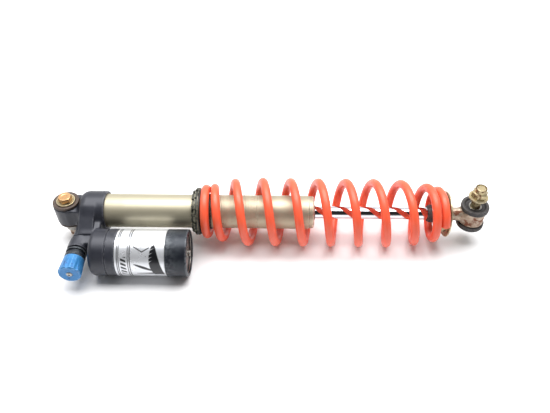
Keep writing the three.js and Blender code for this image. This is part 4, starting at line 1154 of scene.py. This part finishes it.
@dataclass
class SpringSeats:
    """The threaded preload collar with its lock ring and washer, and the seat at the far end."""

    datum: Datum
    notch_count: int = 12
    notch_width: float = 5.0
    notch_depth: float = 2.4
    flange: float = 5.0
    hub_inner: float = 18.1  # the lower seat's hub, inside the last coil
    hub_outer: float = 23.1
    recess: float = 11.3  # in the lower seat's face, for the eyelet's collar

    def notches(self, rim: float, start: float, end: float) -> Notches:
        """Spanner notches through a rim of that radius."""
        return Notches(self.notch_count, self.notch_width, self.notch_depth, rim, start, end)

    def build(self) -> None:
        """Builds the lock ring, the collar, the slip washer and the lower seat."""
        axis = self.datum.damper
        lock = axis.extent("lock_ring")
        outline = [
            (lock.start, lock.inner, 0.3),
            (lock.start, lock.outer, 0.5),
            (lock.end, lock.outer, 0.4),
            (lock.end, lock.inner, 0.2),
        ]
        cutting = self.notches(lock.outer, lock.start - 1, lock.end + 1)
        surface = turned(axis, outline, cutting.shape, angles=cutting.angles())
        stand_in("lock_ring_notched", surface, "lock_ring")

        collar = axis.extent("preload_collar")
        back = collar.start + self.flange
        floor = collar.start + 3.0
        outline = [
            (collar.start, collar.inner, 0.3),
            (collar.start, collar.outer - 0.6, 0.4),
            (collar.start + 0.8, collar.outer, 0.3),
            (floor, collar.outer, 0),
            (floor + 0.05, collar.outer, 0),
            (back, collar.outer, 0.5),
            (back, COLLAR_SPIGOT, 0.4),
            (collar.end, COLLAR_SPIGOT, 0.8),
            (collar.end, collar.inner, 0.3),
        ]
        cutting = self.notches(collar.outer, collar.start - 1, floor + 0.02)
        surface = turned(axis, outline, cutting.shape, angles=cutting.angles())
        stand_in("collar_notched", surface, "preload_collar")

        stand_in("washer_slip", plain_ring(axis, "slip_washer", 0.4, 0.3), "slip_washer")

        seat = axis.extent("spring_retainer")
        face, web = seat.start + 10, seat.start + 7
        outline = [
            (web, seat.inner, 0.3),
            (web, self.hub_inner, 1.5),
            (seat.start, self.hub_inner, 0.6),
            (seat.start, self.hub_outer, 1.2),
            (face, self.hub_outer, 0.6),
            (face, seat.outer, 0.8),
            (seat.end, seat.outer, 1.0),
            (seat.end, self.recess, 0.6),
            (face, self.recess, 0.3),
            (face, seat.inner, 0.3),
        ]
        stand_in("seat_turned", turned(axis, outline), "spring_retainer")


@dataclass
class Rod:
    """What slides in and out of the tube, up to the lower eye."""

    datum: Datum

    def build(self) -> None:
        """Builds the shaft, the bump stop and the cup behind it."""
        axis = self.datum.damper
        shaft = axis.extent("damper_shaft")
        neck = axis.extent("spring_retainer").start + 9.7
        shoulder = axis.extent("compression_shims").end + 0.3
        outline = [
            (shaft.start, 0, 0),
            (shaft.start, 5, 0.8),
            (shoulder, 5, 0.2),
            (shoulder, shaft.outer, 0.6),
            (neck, shaft.outer, 0.5),
            (neck, 6, 0.2),
            (shaft.end, 6, 0.8),
            (shaft.end, 0, 0),
        ]
        stand_in("shaft_chromed", turned(axis, outline, columns=128), "damper_shaft")

        stop = axis.extent("bump_stop")
        step = (stop.end - stop.start) / 4
        outline = [
            (stop.start, stop.inner, 0.6),
            (stop.start, stop.outer - 3, 1.5),
            (stop.start + step, stop.outer - 1, 2),
            (stop.start + 2 * step, stop.outer - 2.4, 2),
            (stop.start + 3 * step, stop.outer, 2),
            (stop.end, stop.outer, 1),
            (stop.end, stop.inner, 0.3),
        ]
        stand_in("bump_rubber", turned(axis, outline), "bump_stop")

        cup = plain_ring(axis, "bump_stop_cup", 0.5, columns=64)
        stand_in("bump_cup", cup, "bump_stop_cup")


def half_bush(extent: Extent, barrel: float, flange: float, dish: float, floor: float) -> list[Corner]:
    """A half bush's outline, its flange away from the eye's middle, with a dished face.

    Args:
        extent: The CAD bush against the eye's axis, on whichever side of the middle it lies.
        barrel: The radius inside the eye.
        flange: The flange's thickness.
        dish: How deep its face is dished.
        floor: The radius of the dish's floor.
    """
    side = 1 if extent.end > -extent.start else -1
    near, far = (extent.start, extent.end) if side > 0 else (extent.end, extent.start)
    back = far - side * flange
    return [
        (near, extent.inner, 0.2),
        (near, barrel, 0.2),
        (back, barrel, 0.2),
        (back, extent.outer, 1.0),
        (far, extent.outer, 1.9),
        (far, floor + 1.4, 0.8),
        (far - side * dish, floor - 0.4, 0.5),
        (far - side * dish, extent.inner, 0.2),
    ]


@dataclass
class UpperEye:
    """The upper eye's bushes and the bolt, washer, spacer and nut through them."""

    datum: Datum
    flats: float = 15.0
    head: float = 6.0

    def build(self) -> None:
        """Builds each piece round the upper eye's axis."""
        axis = self.datum.upper_eye
        for node, name in (("upper_bush_top", "eye_bush_high"), ("upper_bush_bottom", "eye_bush_low")):
            outline = half_bush(axis.extent(node), 13.0, 3.7, 0.8, 11.9)
            stand_in(name, turned(axis, outline), node)

        washer = axis.extent("upper_washer")
        rim = 1.1  # the cup washer's rim stands this far round the bolt head
        outline = [
            (washer.start, washer.inner, 0.2),
            (washer.start, washer.outer, 0.5),
            (washer.end, washer.outer, 0.5),
            (washer.end, washer.outer - rim, 0.4),
            (washer.end - 0.6, washer.outer - rim - 0.7, 0.3),
            (washer.end - 0.6, washer.inner, 0.2),
        ]
        stand_in("cup_washer", turned(axis, outline), "upper_washer", YELLOW_ZINC)

        bolt = axis.extent("upper_bolt")
        under = bolt.end - self.head
        corner = self.flats / math.sqrt(3)
        outline = [
            (bolt.start, 0, 0),
            (bolt.start, 5, 0.8),
            (under, 5, 0.2),
            (under, corner, 0.2),
            *[(bolt.end - 1.2 + 0.2 * i, corner - 0.25 * i, 0) for i in range(6)],
            (bolt.end, self.flats / 2 - 0.4, 0.3),
            (bolt.end, 4.2, 0.3),
            (bolt.end - 0.35, 3.6, 0.2),
            (bolt.end - 0.35, 0, 0),
        ]
        flats = hexagon(self.flats, under - 0.1, math.pi / 8 + math.pi / 6)
        surface = turned(axis, outline, flats, 144)
        stand_in("eye_bolt", surface, "upper_bolt", COPPER_GOLD, 25)

        spacer = plain_ring(axis, "upper_spacer", 0.6, 0.3, 64)
        stand_in("eye_spacer", spacer, "upper_spacer")

        nut = axis.extent("upper_nut")
        outline = [
            (nut.start, nut.inner, 0.4),
            (nut.start, self.flats / 2 - 0.2, 0.3),
            (nut.start + 0.9, corner, 0),
            (nut.end - 0.9, corner, 0),
            (nut.end, self.flats / 2 - 0.2, 0.3),
            (nut.end, nut.inner, 0.4),
        ]
        surface = turned(axis, outline, hexagon(self.flats, turn=math.pi / 6), 144)
        stand_in("eye_nut", surface, "upper_nut", sharp=25)


@dataclass
class LowerEye:
    """The plated eyelet, its rubber bushes, and the bolt and flange nut through them."""

    datum: Datum
    radius: float = 15.5
    half: float = 10.5
    bore: float = 12.3
    neck: float = 8.5
    collar: float = 11.0
    flats: float = 17.0
    nut_flats: float = 17.5
    net_mm: float = 0.55

    def distance(self, points: Array) -> Array:
        """Distance to the eyelet: a ring, and a neck that flares into it from a collar.

        Args:
            points: Places along X, Y and Z from the lower eye's centre, in mm.
        """
        x, off_eye = points[..., 0], np.hypot(points[..., 0], points[..., 1])
        off_neck = np.hypot(points[..., 1], points[..., 2])
        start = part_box("lower_eyelet")[0].x / MM - self.datum.lower_eye.origin[0] / MM
        eye = rod(points[..., 2], off_eye, -self.half, self.half, self.radius, 1.4)
        neck = rod(x, off_neck, start, 0, self.neck, 0.5)
        collar = rod(x, off_neck, start, start + 3, self.collar, 0.7)
        whole = joined(joined(eye, neck, 5.5), collar, 0.8)
        bore = rod(points[..., 2], off_eye, -30, 30, self.bore, 0.1)
        stud = rod(x, off_neck, start - 9, -self.radius - 0.8, 6.3, 0.3)
        return cut(cut(whole, bore, 0.8), stud, 0.5)

    def build(self) -> None:
        """Builds each piece round the lower eye's axis."""
        axis = self.datum.lower_eye
        straight = Axis(axis.origin, (1, 0, 0), (0, 1, 0))
        low, high = (np.array(corner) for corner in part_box("lower_eyelet"))
        low, high = (low - axis.origin) / MM - 2, (high - axis.origin) / MM + 2
        surface = blended(straight, self.distance, low, high, self.net_mm)
        stand_in("eyelet_forged", surface, "lower_eyelet", RUSTY_ZINC, 50)

        for node, name in (("lower_bush_top", "bush_high"), ("lower_bush_bottom", "bush_low")):
            outline = half_bush(axis.extent(node), 12.0, 6.2, 2.5, 12.5)
            stand_in(name, turned(axis, outline), node)

        bolt = axis.extent("lower_bolt")
        head = bolt.start + 6.5
        corner = self.flats / math.sqrt(3)
        thread_start = bolt.end - 24
        rows = [(along, 6.0, 0) for along in np.arange(thread_start, bolt.end - 1.2, 0.22)]
        outline = [
            (bolt.start, 0, 0),
            (bolt.start, self.flats / 2 - 0.3, 0.3),
            (bolt.start + 0.9, corner, 0),
            (head, corner, 0.2),
            (head, 6, 0.3),
            *rows,
            (bolt.end - 1, 6, 0),
            (bolt.end, 5, 0.3),
            (bolt.end, 0, 0),
        ]
        flats = hexagon(self.flats)
        cutting = thread(thread_start, bolt.end - 1, 6.0, 1.75, 0.55)

        def shape(along: Array, radius: Array, angle: Array) -> Array:
            """Flats on the head and a thread on the shank."""
            return cutting(along, flats(along, radius, angle), angle)

        stand_in("pin_bolt", turned(axis, outline, shape, 96), "lower_bolt", YELLOW_ZINC, 25)

        nut = axis.extent("lower_nut")
        corner = self.nut_flats / math.sqrt(3)
        outline = [
            (nut.start, nut.inner, 0.2),
            (nut.start, nut.outer, 0.4),
            (nut.start + 1.6, nut.outer, 0.6),
            (nut.start + 3.0, corner + 0.4, 0.8),
            (nut.start + 8.6, corner, 0),
            *[(nut.start + 8.6 + 0.25 * i, corner - 0.35 * i, 0) for i in range(1, 8)],
            (nut.start + 10.8, 7.4, 0.5),
            (nut.end, 6.9, 0.9),
            (nut.end, nut.inner + 0.6, 0.5),
            (nut.end - 1.6, nut.inner, 0.2),
        ]
        flats = hexagon(self.nut_flats, nut.start + 2.4, math.pi / 6)
        stand_in("flange_nut", turned(axis, outline, flats, 144), "lower_nut", sharp=25)

        sleeve = plain_ring(axis, "lower_sleeve", 0.4, columns=64)
        stand_in("pin_sleeve", sleeve, "lower_sleeve")


@dataclass
class Reservoir:
    """The gas reservoir's printed sleeve, end cap, plate and fill valve."""

    datum: Datum
    step: float = 0.45
    rings: tuple[tuple[float, float], ...] = ((3.1, 0.5), (5.0, 0.5), (16.0, 0.5), (18.3, 0.6))

    def ink(self, local: Array) -> Array:
        """How black the sleeve's plain printed trim is at each of its points.

        Four thin rings, a row of slanted bars between the pairs, a swept wedge with slits in its back,
        and two tapering strokes that run into it. All are distances softened over the mesh's step.

        Args:
            local: Points along the reservoir's axis, to the side and up, in mm.
        """
        length = self.datum.reservoir.extent("reservoir_sleeve")
        along = local[:, 0] - length.start
        angle = 0.75 * math.pi - np.arctan2(local[:, 2], local[:, 1])
        angle = (angle + math.pi) % FULL_TURN - math.pi  # from the side that faces up and out
        around = angle * length.outer

        def band(distance: Array) -> Array:
            """1 inside, 0 outside, softened over one step."""
            return np.clip(0.5 - distance / self.step, 0, 1)

        ink = np.zeros(len(local))
        for place, half in self.rings:
            ink = np.maximum(ink, band(np.abs(along - place) - half))
        bars = np.abs((around + 0.45 * along) % 5.4 - 2.7) - 1.5
        bars = np.maximum(np.maximum(bars, np.abs(along - 10.5) - 3.2), np.abs(around + 16) - 13)
        ink = np.maximum(ink, band(bars))
        fall = np.clip((15.6 - around) / 45.6, 0, 1)
        right = 46.2 + 12.5 * fall**0.85
        left = 46.6 - 5.5 * np.sin(math.pi * np.clip(fall, 0, 1)) ** 0.8
        wedge = np.maximum(np.maximum(along - right, left - along), np.abs(around + 7.2) - 22.8)
        slits = np.abs((around - 0.5 * along) % 4.6 - 2.3) - 0.55 + 0.16 * (along - left)
        wedge = np.where(around > -12, np.maximum(wedge, -slits), wedge)
        ink = np.maximum(ink, band(wedge))
        reach = np.clip((along - 22) / 26, 0, 1)
        stroke = np.abs(around + 13 + 0.42 * (along - 24)) - 2.1 * np.sin(math.pi * reach) ** 0.7
        ink = np.maximum(ink, band(np.where((reach > 0) & (reach < 1), stroke, 9)))
        reach = np.clip((along - 25) / 24, 0, 1)
        stroke = np.abs(around + 28.5 - 0.03 * along) - 0.3 - 1.5 * reach
        ink = np.maximum(ink, band(np.where((reach > 0) & (along < right), stroke, 9)))
        corner = np.abs(around - 3 - 0.62 * np.abs(along - 33)) - 0.75
        return np.maximum(ink, band(np.maximum(corner, np.abs(along - 32) - 9.5)))

    def sleeve(self) -> None:
        """Builds the sleeve on an even grid, fine enough to carry its print."""
        axis = self.datum.reservoir
        sleeve = axis.extent("reservoir_sleeve")
        places = np.arange(sleeve.start + 0.3, sleeve.end - 0.3, self.step)
        outline = [
            (sleeve.start, sleeve.inner, 0),
            (sleeve.start, sleeve.outer, 0),
            *[(place, sleeve.outer, 0) for place in places],
            (sleeve.end, sleeve.outer, 0),
            (sleeve.end, sleeve.inner, 0),
        ]
        surface = turned(axis, outline, columns=400)
        surface.values["ink"] = self.ink(axis.to_local(surface.points))
        stand_in("sleeve_printed", surface, "reservoir_sleeve")

    def build(self) -> None:
        """Builds each piece round the reservoir's axis."""
        self.sleeve()
        axis = self.datum.reservoir
        cap = axis.extent("reservoir_end_cap")
        groove = axis.extent("end_cap_ring")
        wire = (groove.end - groove.start) / 2
        outline = [
            (cap.start, cap.inner + 2, 0.3),
            (cap.start, cap.outer, 1.0),
            (cap.end, cap.outer, 2.6),
            (cap.end, cap.inner, 0.9),
            (groove.end + 0.6, cap.inner, 0.1),
            (groove.end + 0.6, groove.outer + 0.3, 0.1),
            (groove.start - 0.6, groove.outer + 0.3, 0.1),
            (groove.start - 0.6, cap.inner, 0.1),
            (cap.start + 15.3, cap.inner, 0.1),
            (cap.start + 15.3, cap.inner + 2, 0.1),
        ]
        stand_in("end_cap", turned(axis, outline, columns=128), "reservoir_end_cap")

        turns = np.linspace(0, FULL_TURN, 16, endpoint=False)
        middle = ((groove.start + groove.end) / 2, groove.outer - wire)
        outline = [
            (middle[0] + wire * math.sin(a), middle[1] - wire * math.cos(a), 0) for a in turns
        ]
        stand_in("wire_ring", turned(axis, outline, columns=128), "end_cap_ring", sharp=80)

        plate = axis.extent("valve_plate")
        outline = [
            (plate.start, plate.inner, 0.2),
            (plate.start, plate.outer, 0.4),
            (plate.end, plate.outer, 0.5),
            (plate.end, 15, 0.6),
            (plate.end - 1, 13, 0.6),
            (plate.end - 1, plate.inner, 0.2),
        ]
        finish = DULL_PLATE.centred(axis.origin)
        stand_in("end_plate", turned(axis, outline), "valve_plate", finish)

        valve = axis.extent("fill_valve_body")
        outline = [
            (valve.start, valve.inner, 0),
            (valve.start, 3.2, 0.2),
            (plate.end - 0.7, 3.2, 0),
            (plate.end - 0.7, valve.outer, 0.3),
            (plate.end + 1.5, valve.outer, 0.6),
            (plate.end + 1.5, 3.8, 0.5),
            (valve.end, 3.8, 0.6),
            (valve.end, 2.6, 0.2),
            (valve.end - 3, 2.6, 0.2),
            (valve.end - 3, valve.inner, 0),
        ]
        surface = turned(axis, outline, hexagon(10.6, plate.end - 0.2), 96)
        stand_in("fill_valve", surface, "fill_valve_body", STEEL, 25)

        pin = axis.extent("fill_valve_pin")
        outline = [(pin.start, 0, 0), (pin.start, 1.1, 0.2), (pin.end, 1.1, 0.6), (pin.end, 0, 0)]
        stand_in("valve_pin", turned(axis, outline, columns=32), "fill_valve_pin")


@dataclass
class Adjuster:
    """The compression adjuster that ends the bridge: cartridge, fluted knob and its screw."""

    datum: Datum
    flute_count: int = 8
    flute_cutter: float = 6.0
    flute_depth: float = 1.0
    foot: float = 12.4  # the knob's radius beside the cartridge
    rim: float = 13.8  # and at its outer end
    ridge_width: float = 0.03  # of the rubbed ridges between flutes, as an angle
    screw_key: float = 2.5

    def knob_radius(self, share: float) -> float:
        """The knob flares evenly along its length."""
        return self.foot + (self.rim - self.foot) * share

    def build(self) -> None:
        """Builds each piece round the adjuster's axis."""
        axis = self.datum.adjuster
        body = axis.extent("adjuster_cartridge")
        outline = [
            (body.start, body.inner, 0.2),
            (body.start, 7.5, 0.4),
            (body.start + 2.5, 7.5, 0.2),
            (body.start + 2.5, 9.3, 0.3),
            (body.end - 12.8, 9.3, 0.1),
            (body.end - 12.8, 10.5, 0.1),
            (body.end - 10.8, 10.5, 0.3),
            (body.end - 10.8, body.outer, 0.6),
            (body.end - 8.8, body.outer, 0.6),
            (body.end - 8.8, 10.5, 0.5),
            (body.end - 5.8, 10.5, 0.5),
            (body.end - 4, body.outer, 0.5),
            (body.end, body.outer, 0.5),
            (body.end, body.inner, 0.2),
        ]
        stand_in("cartridge_turned", turned(axis, outline), "adjuster_cartridge")

        knob = axis.extent("adjuster_knob")
        steps = np.linspace(0, 1, 12)[1:-1]
        length = knob.end - knob.start
        wall = [(knob.start + length * t, self.knob_radius(t), 0) for t in steps]
        outline = [
            (knob.start, knob.inner, 0.1),
            (knob.start, self.knob_radius(0), 0.9),
            *wall,
            (knob.end - 1.2, self.knob_radius(0.95), 0.4),
            (knob.end, self.knob_radius(1) - 1.6, 0.5),
            (knob.end - 0.35, 5.0, 0.5),
            (knob.end - 0.35, 3.9, 0.3),
            (knob.end - 2, 3.9, 0.2),
            (knob.end - 2, knob.inner, 0.1),
        ]
        cutting = flutes(self.flute_count, self.rim, self.flute_cutter, self.flute_depth)
        surface = turned(axis, outline, cutting, 256)
        self.rub_ridges(surface, axis)
        stand_in("knob_fluted", surface, "adjuster_knob", sharp=22)

        screw = axis.extent("knob_screw")
        under = screw.end - 2.4
        corner = self.screw_key / math.sqrt(3)

        def socket(along: Array, radius: Array, angle: Array) -> Array:
            """A hexagon key's socket in place of the round bore."""
            flat = self.screw_key / 2 / np.cos(from_middle(angle, 6))
            bored = (np.abs(radius - corner) < 0.01) & (along > under)
            return np.where(bored, flat, radius)

        outline = [
            (screw.start, 0, 0),
            (screw.start, 1.5, 0.3),
            (under, 1.5, 0.1),
            (under, screw.outer, 0.2),
            (screw.end - 0.7, screw.outer, 0.5),
            (screw.end, screw.outer - 1.4, 0.5),
            (screw.end, corner, 0),
            (screw.end - 1.4, corner, 0),
            (screw.end - 1.4, 0, 0),
        ]
        stand_in("screw_socket", turned(axis, outline, socket, 72), "knob_screw", STEEL, 25)

    def rub_ridges(self, surface: Surface, axis: Axis) -> None:
        """Adds wear along the ridges between the flutes: high where the radius is the rim's own."""
        local = axis.to_local(surface.points)
        angle, radius = np.arctan2(local[:, 2], local[:, 1]), np.hypot(local[:, 1], local[:, 2])
        from_ridge = np.abs(from_middle(angle, self.flute_count)) - math.asin(0.25)
        ridge = np.exp(-((from_ridge / self.ridge_width) ** 2)) * (radius > self.foot - 0.4)
        surface.values["wear"] = np.maximum(surface.values["wear"], 0.8 * ridge)


# ---- The studio ----


@dataclass
class Studio:
    """A white floor, soft light from above and behind, and the camera in front and above."""

    datum: Datum
    lens: float = 36.0
    distance: float = 0.711
    aside: float = 0.00525
    lift: float = 0.007
    roll_degrees: float = 0.6
    lamp_place: tuple[float, float, float] = (0.0, 0.25, 1.3)
    lamp_size: tuple[float, float] = (1.8, 0.9)
    lamp_watts: float = 34.0

    def camera(self) -> None:
        """Looks at the damper's middle from 45 degrees above."""
        origin = self.datum.damper.origin
        target = Vector((self.aside, origin[1], origin[2]))
        back = Vector((0, -1, 1)).normalized()
        upward = Vector((0, 1, 1)).normalized()
        data = bpy.data.cameras.new("camera")
        data.lens = self.lens
        data.clip_start, data.clip_end = 0.01, 50
        camera = bpy.data.objects.new("camera", data)
        camera.location = target + back * self.distance + upward * self.lift
        turn = (-back).to_track_quat("-Z", "Y").to_matrix().to_4x4()
        roll = Matrix.Rotation(math.radians(self.roll_degrees), 4, "Z")
        camera.rotation_mode = "QUATERNION"
        camera.rotation_quaternion = (turn @ roll).to_quaternion()
        bpy.context.scene.collection.objects.link(camera)
        bpy.context.scene.camera = camera

    def floor(self) -> None:
        """A plain white floor a tenth of a millimetre under the lowest piece."""
        low = CAD_BOX[0].z - 0.1 * MM
        reach = 6
        signs = ((-1, -1), (1, -1), (1, 1), (-1, 1))
        corners = [(reach * i, reach * j, low) for i, j in signs]
        mesh = bpy.data.meshes.new("floor")
        mesh.from_pydata(corners, [], [(0, 1, 2, 3)])
        mesh.materials.append(FLOOR_PAINT.material())
        floor = bpy.data.objects.new("floor", mesh)
        bpy.context.scene.collection.objects.link(floor)

    def lamp(self) -> None:
        """One wide rectangular lamp overhead, which faces the shock's middle."""
        data = bpy.data.lights.new("overhead", "AREA")
        data.shape = "RECTANGLE"
        data.size, data.size_y = self.lamp_size
        data.energy = self.lamp_watts
        lamp = bpy.data.objects.new("overhead", data)
        lamp.location = self.lamp_place
        lamp.rotation_mode = "QUATERNION"
        lamp.rotation_quaternion = (-Vector(self.lamp_place)).to_track_quat("-Z", "Y")
        bpy.context.scene.collection.objects.link(lamp)

    def room(self) -> None:
        """Pale walls: bright behind and above, dim in front, and white where the camera sees them."""
        world = bpy.data.worlds.new("room")
        world.use_nodes = True
        tree = world.node_tree
        tree.nodes.clear()
        way = add(tree, "ShaderNodeTexCoord").outputs["Generated"]
        toward = {0: way, 1: (0.0, 1.0, 0.0)}
        behind = add(tree, "ShaderNodeVectorMath", toward, operation="DOT_PRODUCT").outputs["Value"]
        values = {"Value": behind, "From Min": -0.25, "From Max": 0.3, "To Min": 0.32, "To Max": 1.05}
        wall = add(tree, "ShaderNodeMapRange", values, interpolation_type="SMOOTHSTEP")
        toward = {0: way, 1: (0.0, -0.75, 0.66)}
        front = add(tree, "ShaderNodeVectorMath", toward, operation="DOT_PRODUCT").outputs["Value"]
        values = {"Value": front, "From Min": 0.76, "From Max": 0.94, "To Min": 1.0, "To Max": 0.08}
        dark = add(tree, "ShaderNodeMapRange", values, interpolation_type="SMOOTHSTEP")
        pair = {0: wall.outputs["Result"], 1: dark.outputs["Result"]}
        glow = add(tree, "ShaderNodeMath", pair, operation="MULTIPLY")
        light = add(tree, "ShaderNodeBackground", {"Color": glow.outputs[0], "Strength": 1.0})
        seen = add(tree, "ShaderNodeBackground", {"Color": (1, 1, 1, 1), "Strength": 1.0})
        ray = add(tree, "ShaderNodeLightPath").outputs["Is Camera Ray"]
        chosen = add(tree, "ShaderNodeMixShader", {0: ray, 1: light.outputs[0], 2: seen.outputs[0]})
        add(tree, "ShaderNodeOutputWorld", {"Surface": chosen.outputs[0]})
        bpy.context.scene.world = world

    def build(self) -> None:
        """Sets up the whole studio."""
        self.camera()
        self.floor()
        self.room()
        self.lamp()
        bpy.context.scene.view_settings.view_transform = "Standard"


def dress_the_rest() -> None:
    """Gives every CAD node that still shows the finish of its slot."""
    for name, node in frame["nodes"].items():
        material = SLOT_FINISHES[NODE_SLOT[name]].material()
        if node.data.materials:
            for index in range(len(node.data.materials)):
                node.data.materials[index] = material
        else:
            node.data.materials.append(material)
    LOG.info("%d CAD nodes dressed", len(frame["nodes"]))


def main() -> None:
    """Builds the shock from its sub-assemblies, dresses what is left, and sets the scene."""
    datum = Datum.from_frame()
    assemblies = [
        HeadCasting, DamperTube, CoilSpring, SpringSeats, Rod, UpperEye, LowerEye, Reservoir, Adjuster
    ]
    for assembly in assemblies:
        assembly(datum).build()
        LOG.info("%s done", assembly.__name__)
    dress_the_rest()
    Studio(datum).build()


if __name__ == "__main__":
    logging.basicConfig(level=logging.INFO, format="%(name)s %(message)s")
    main()
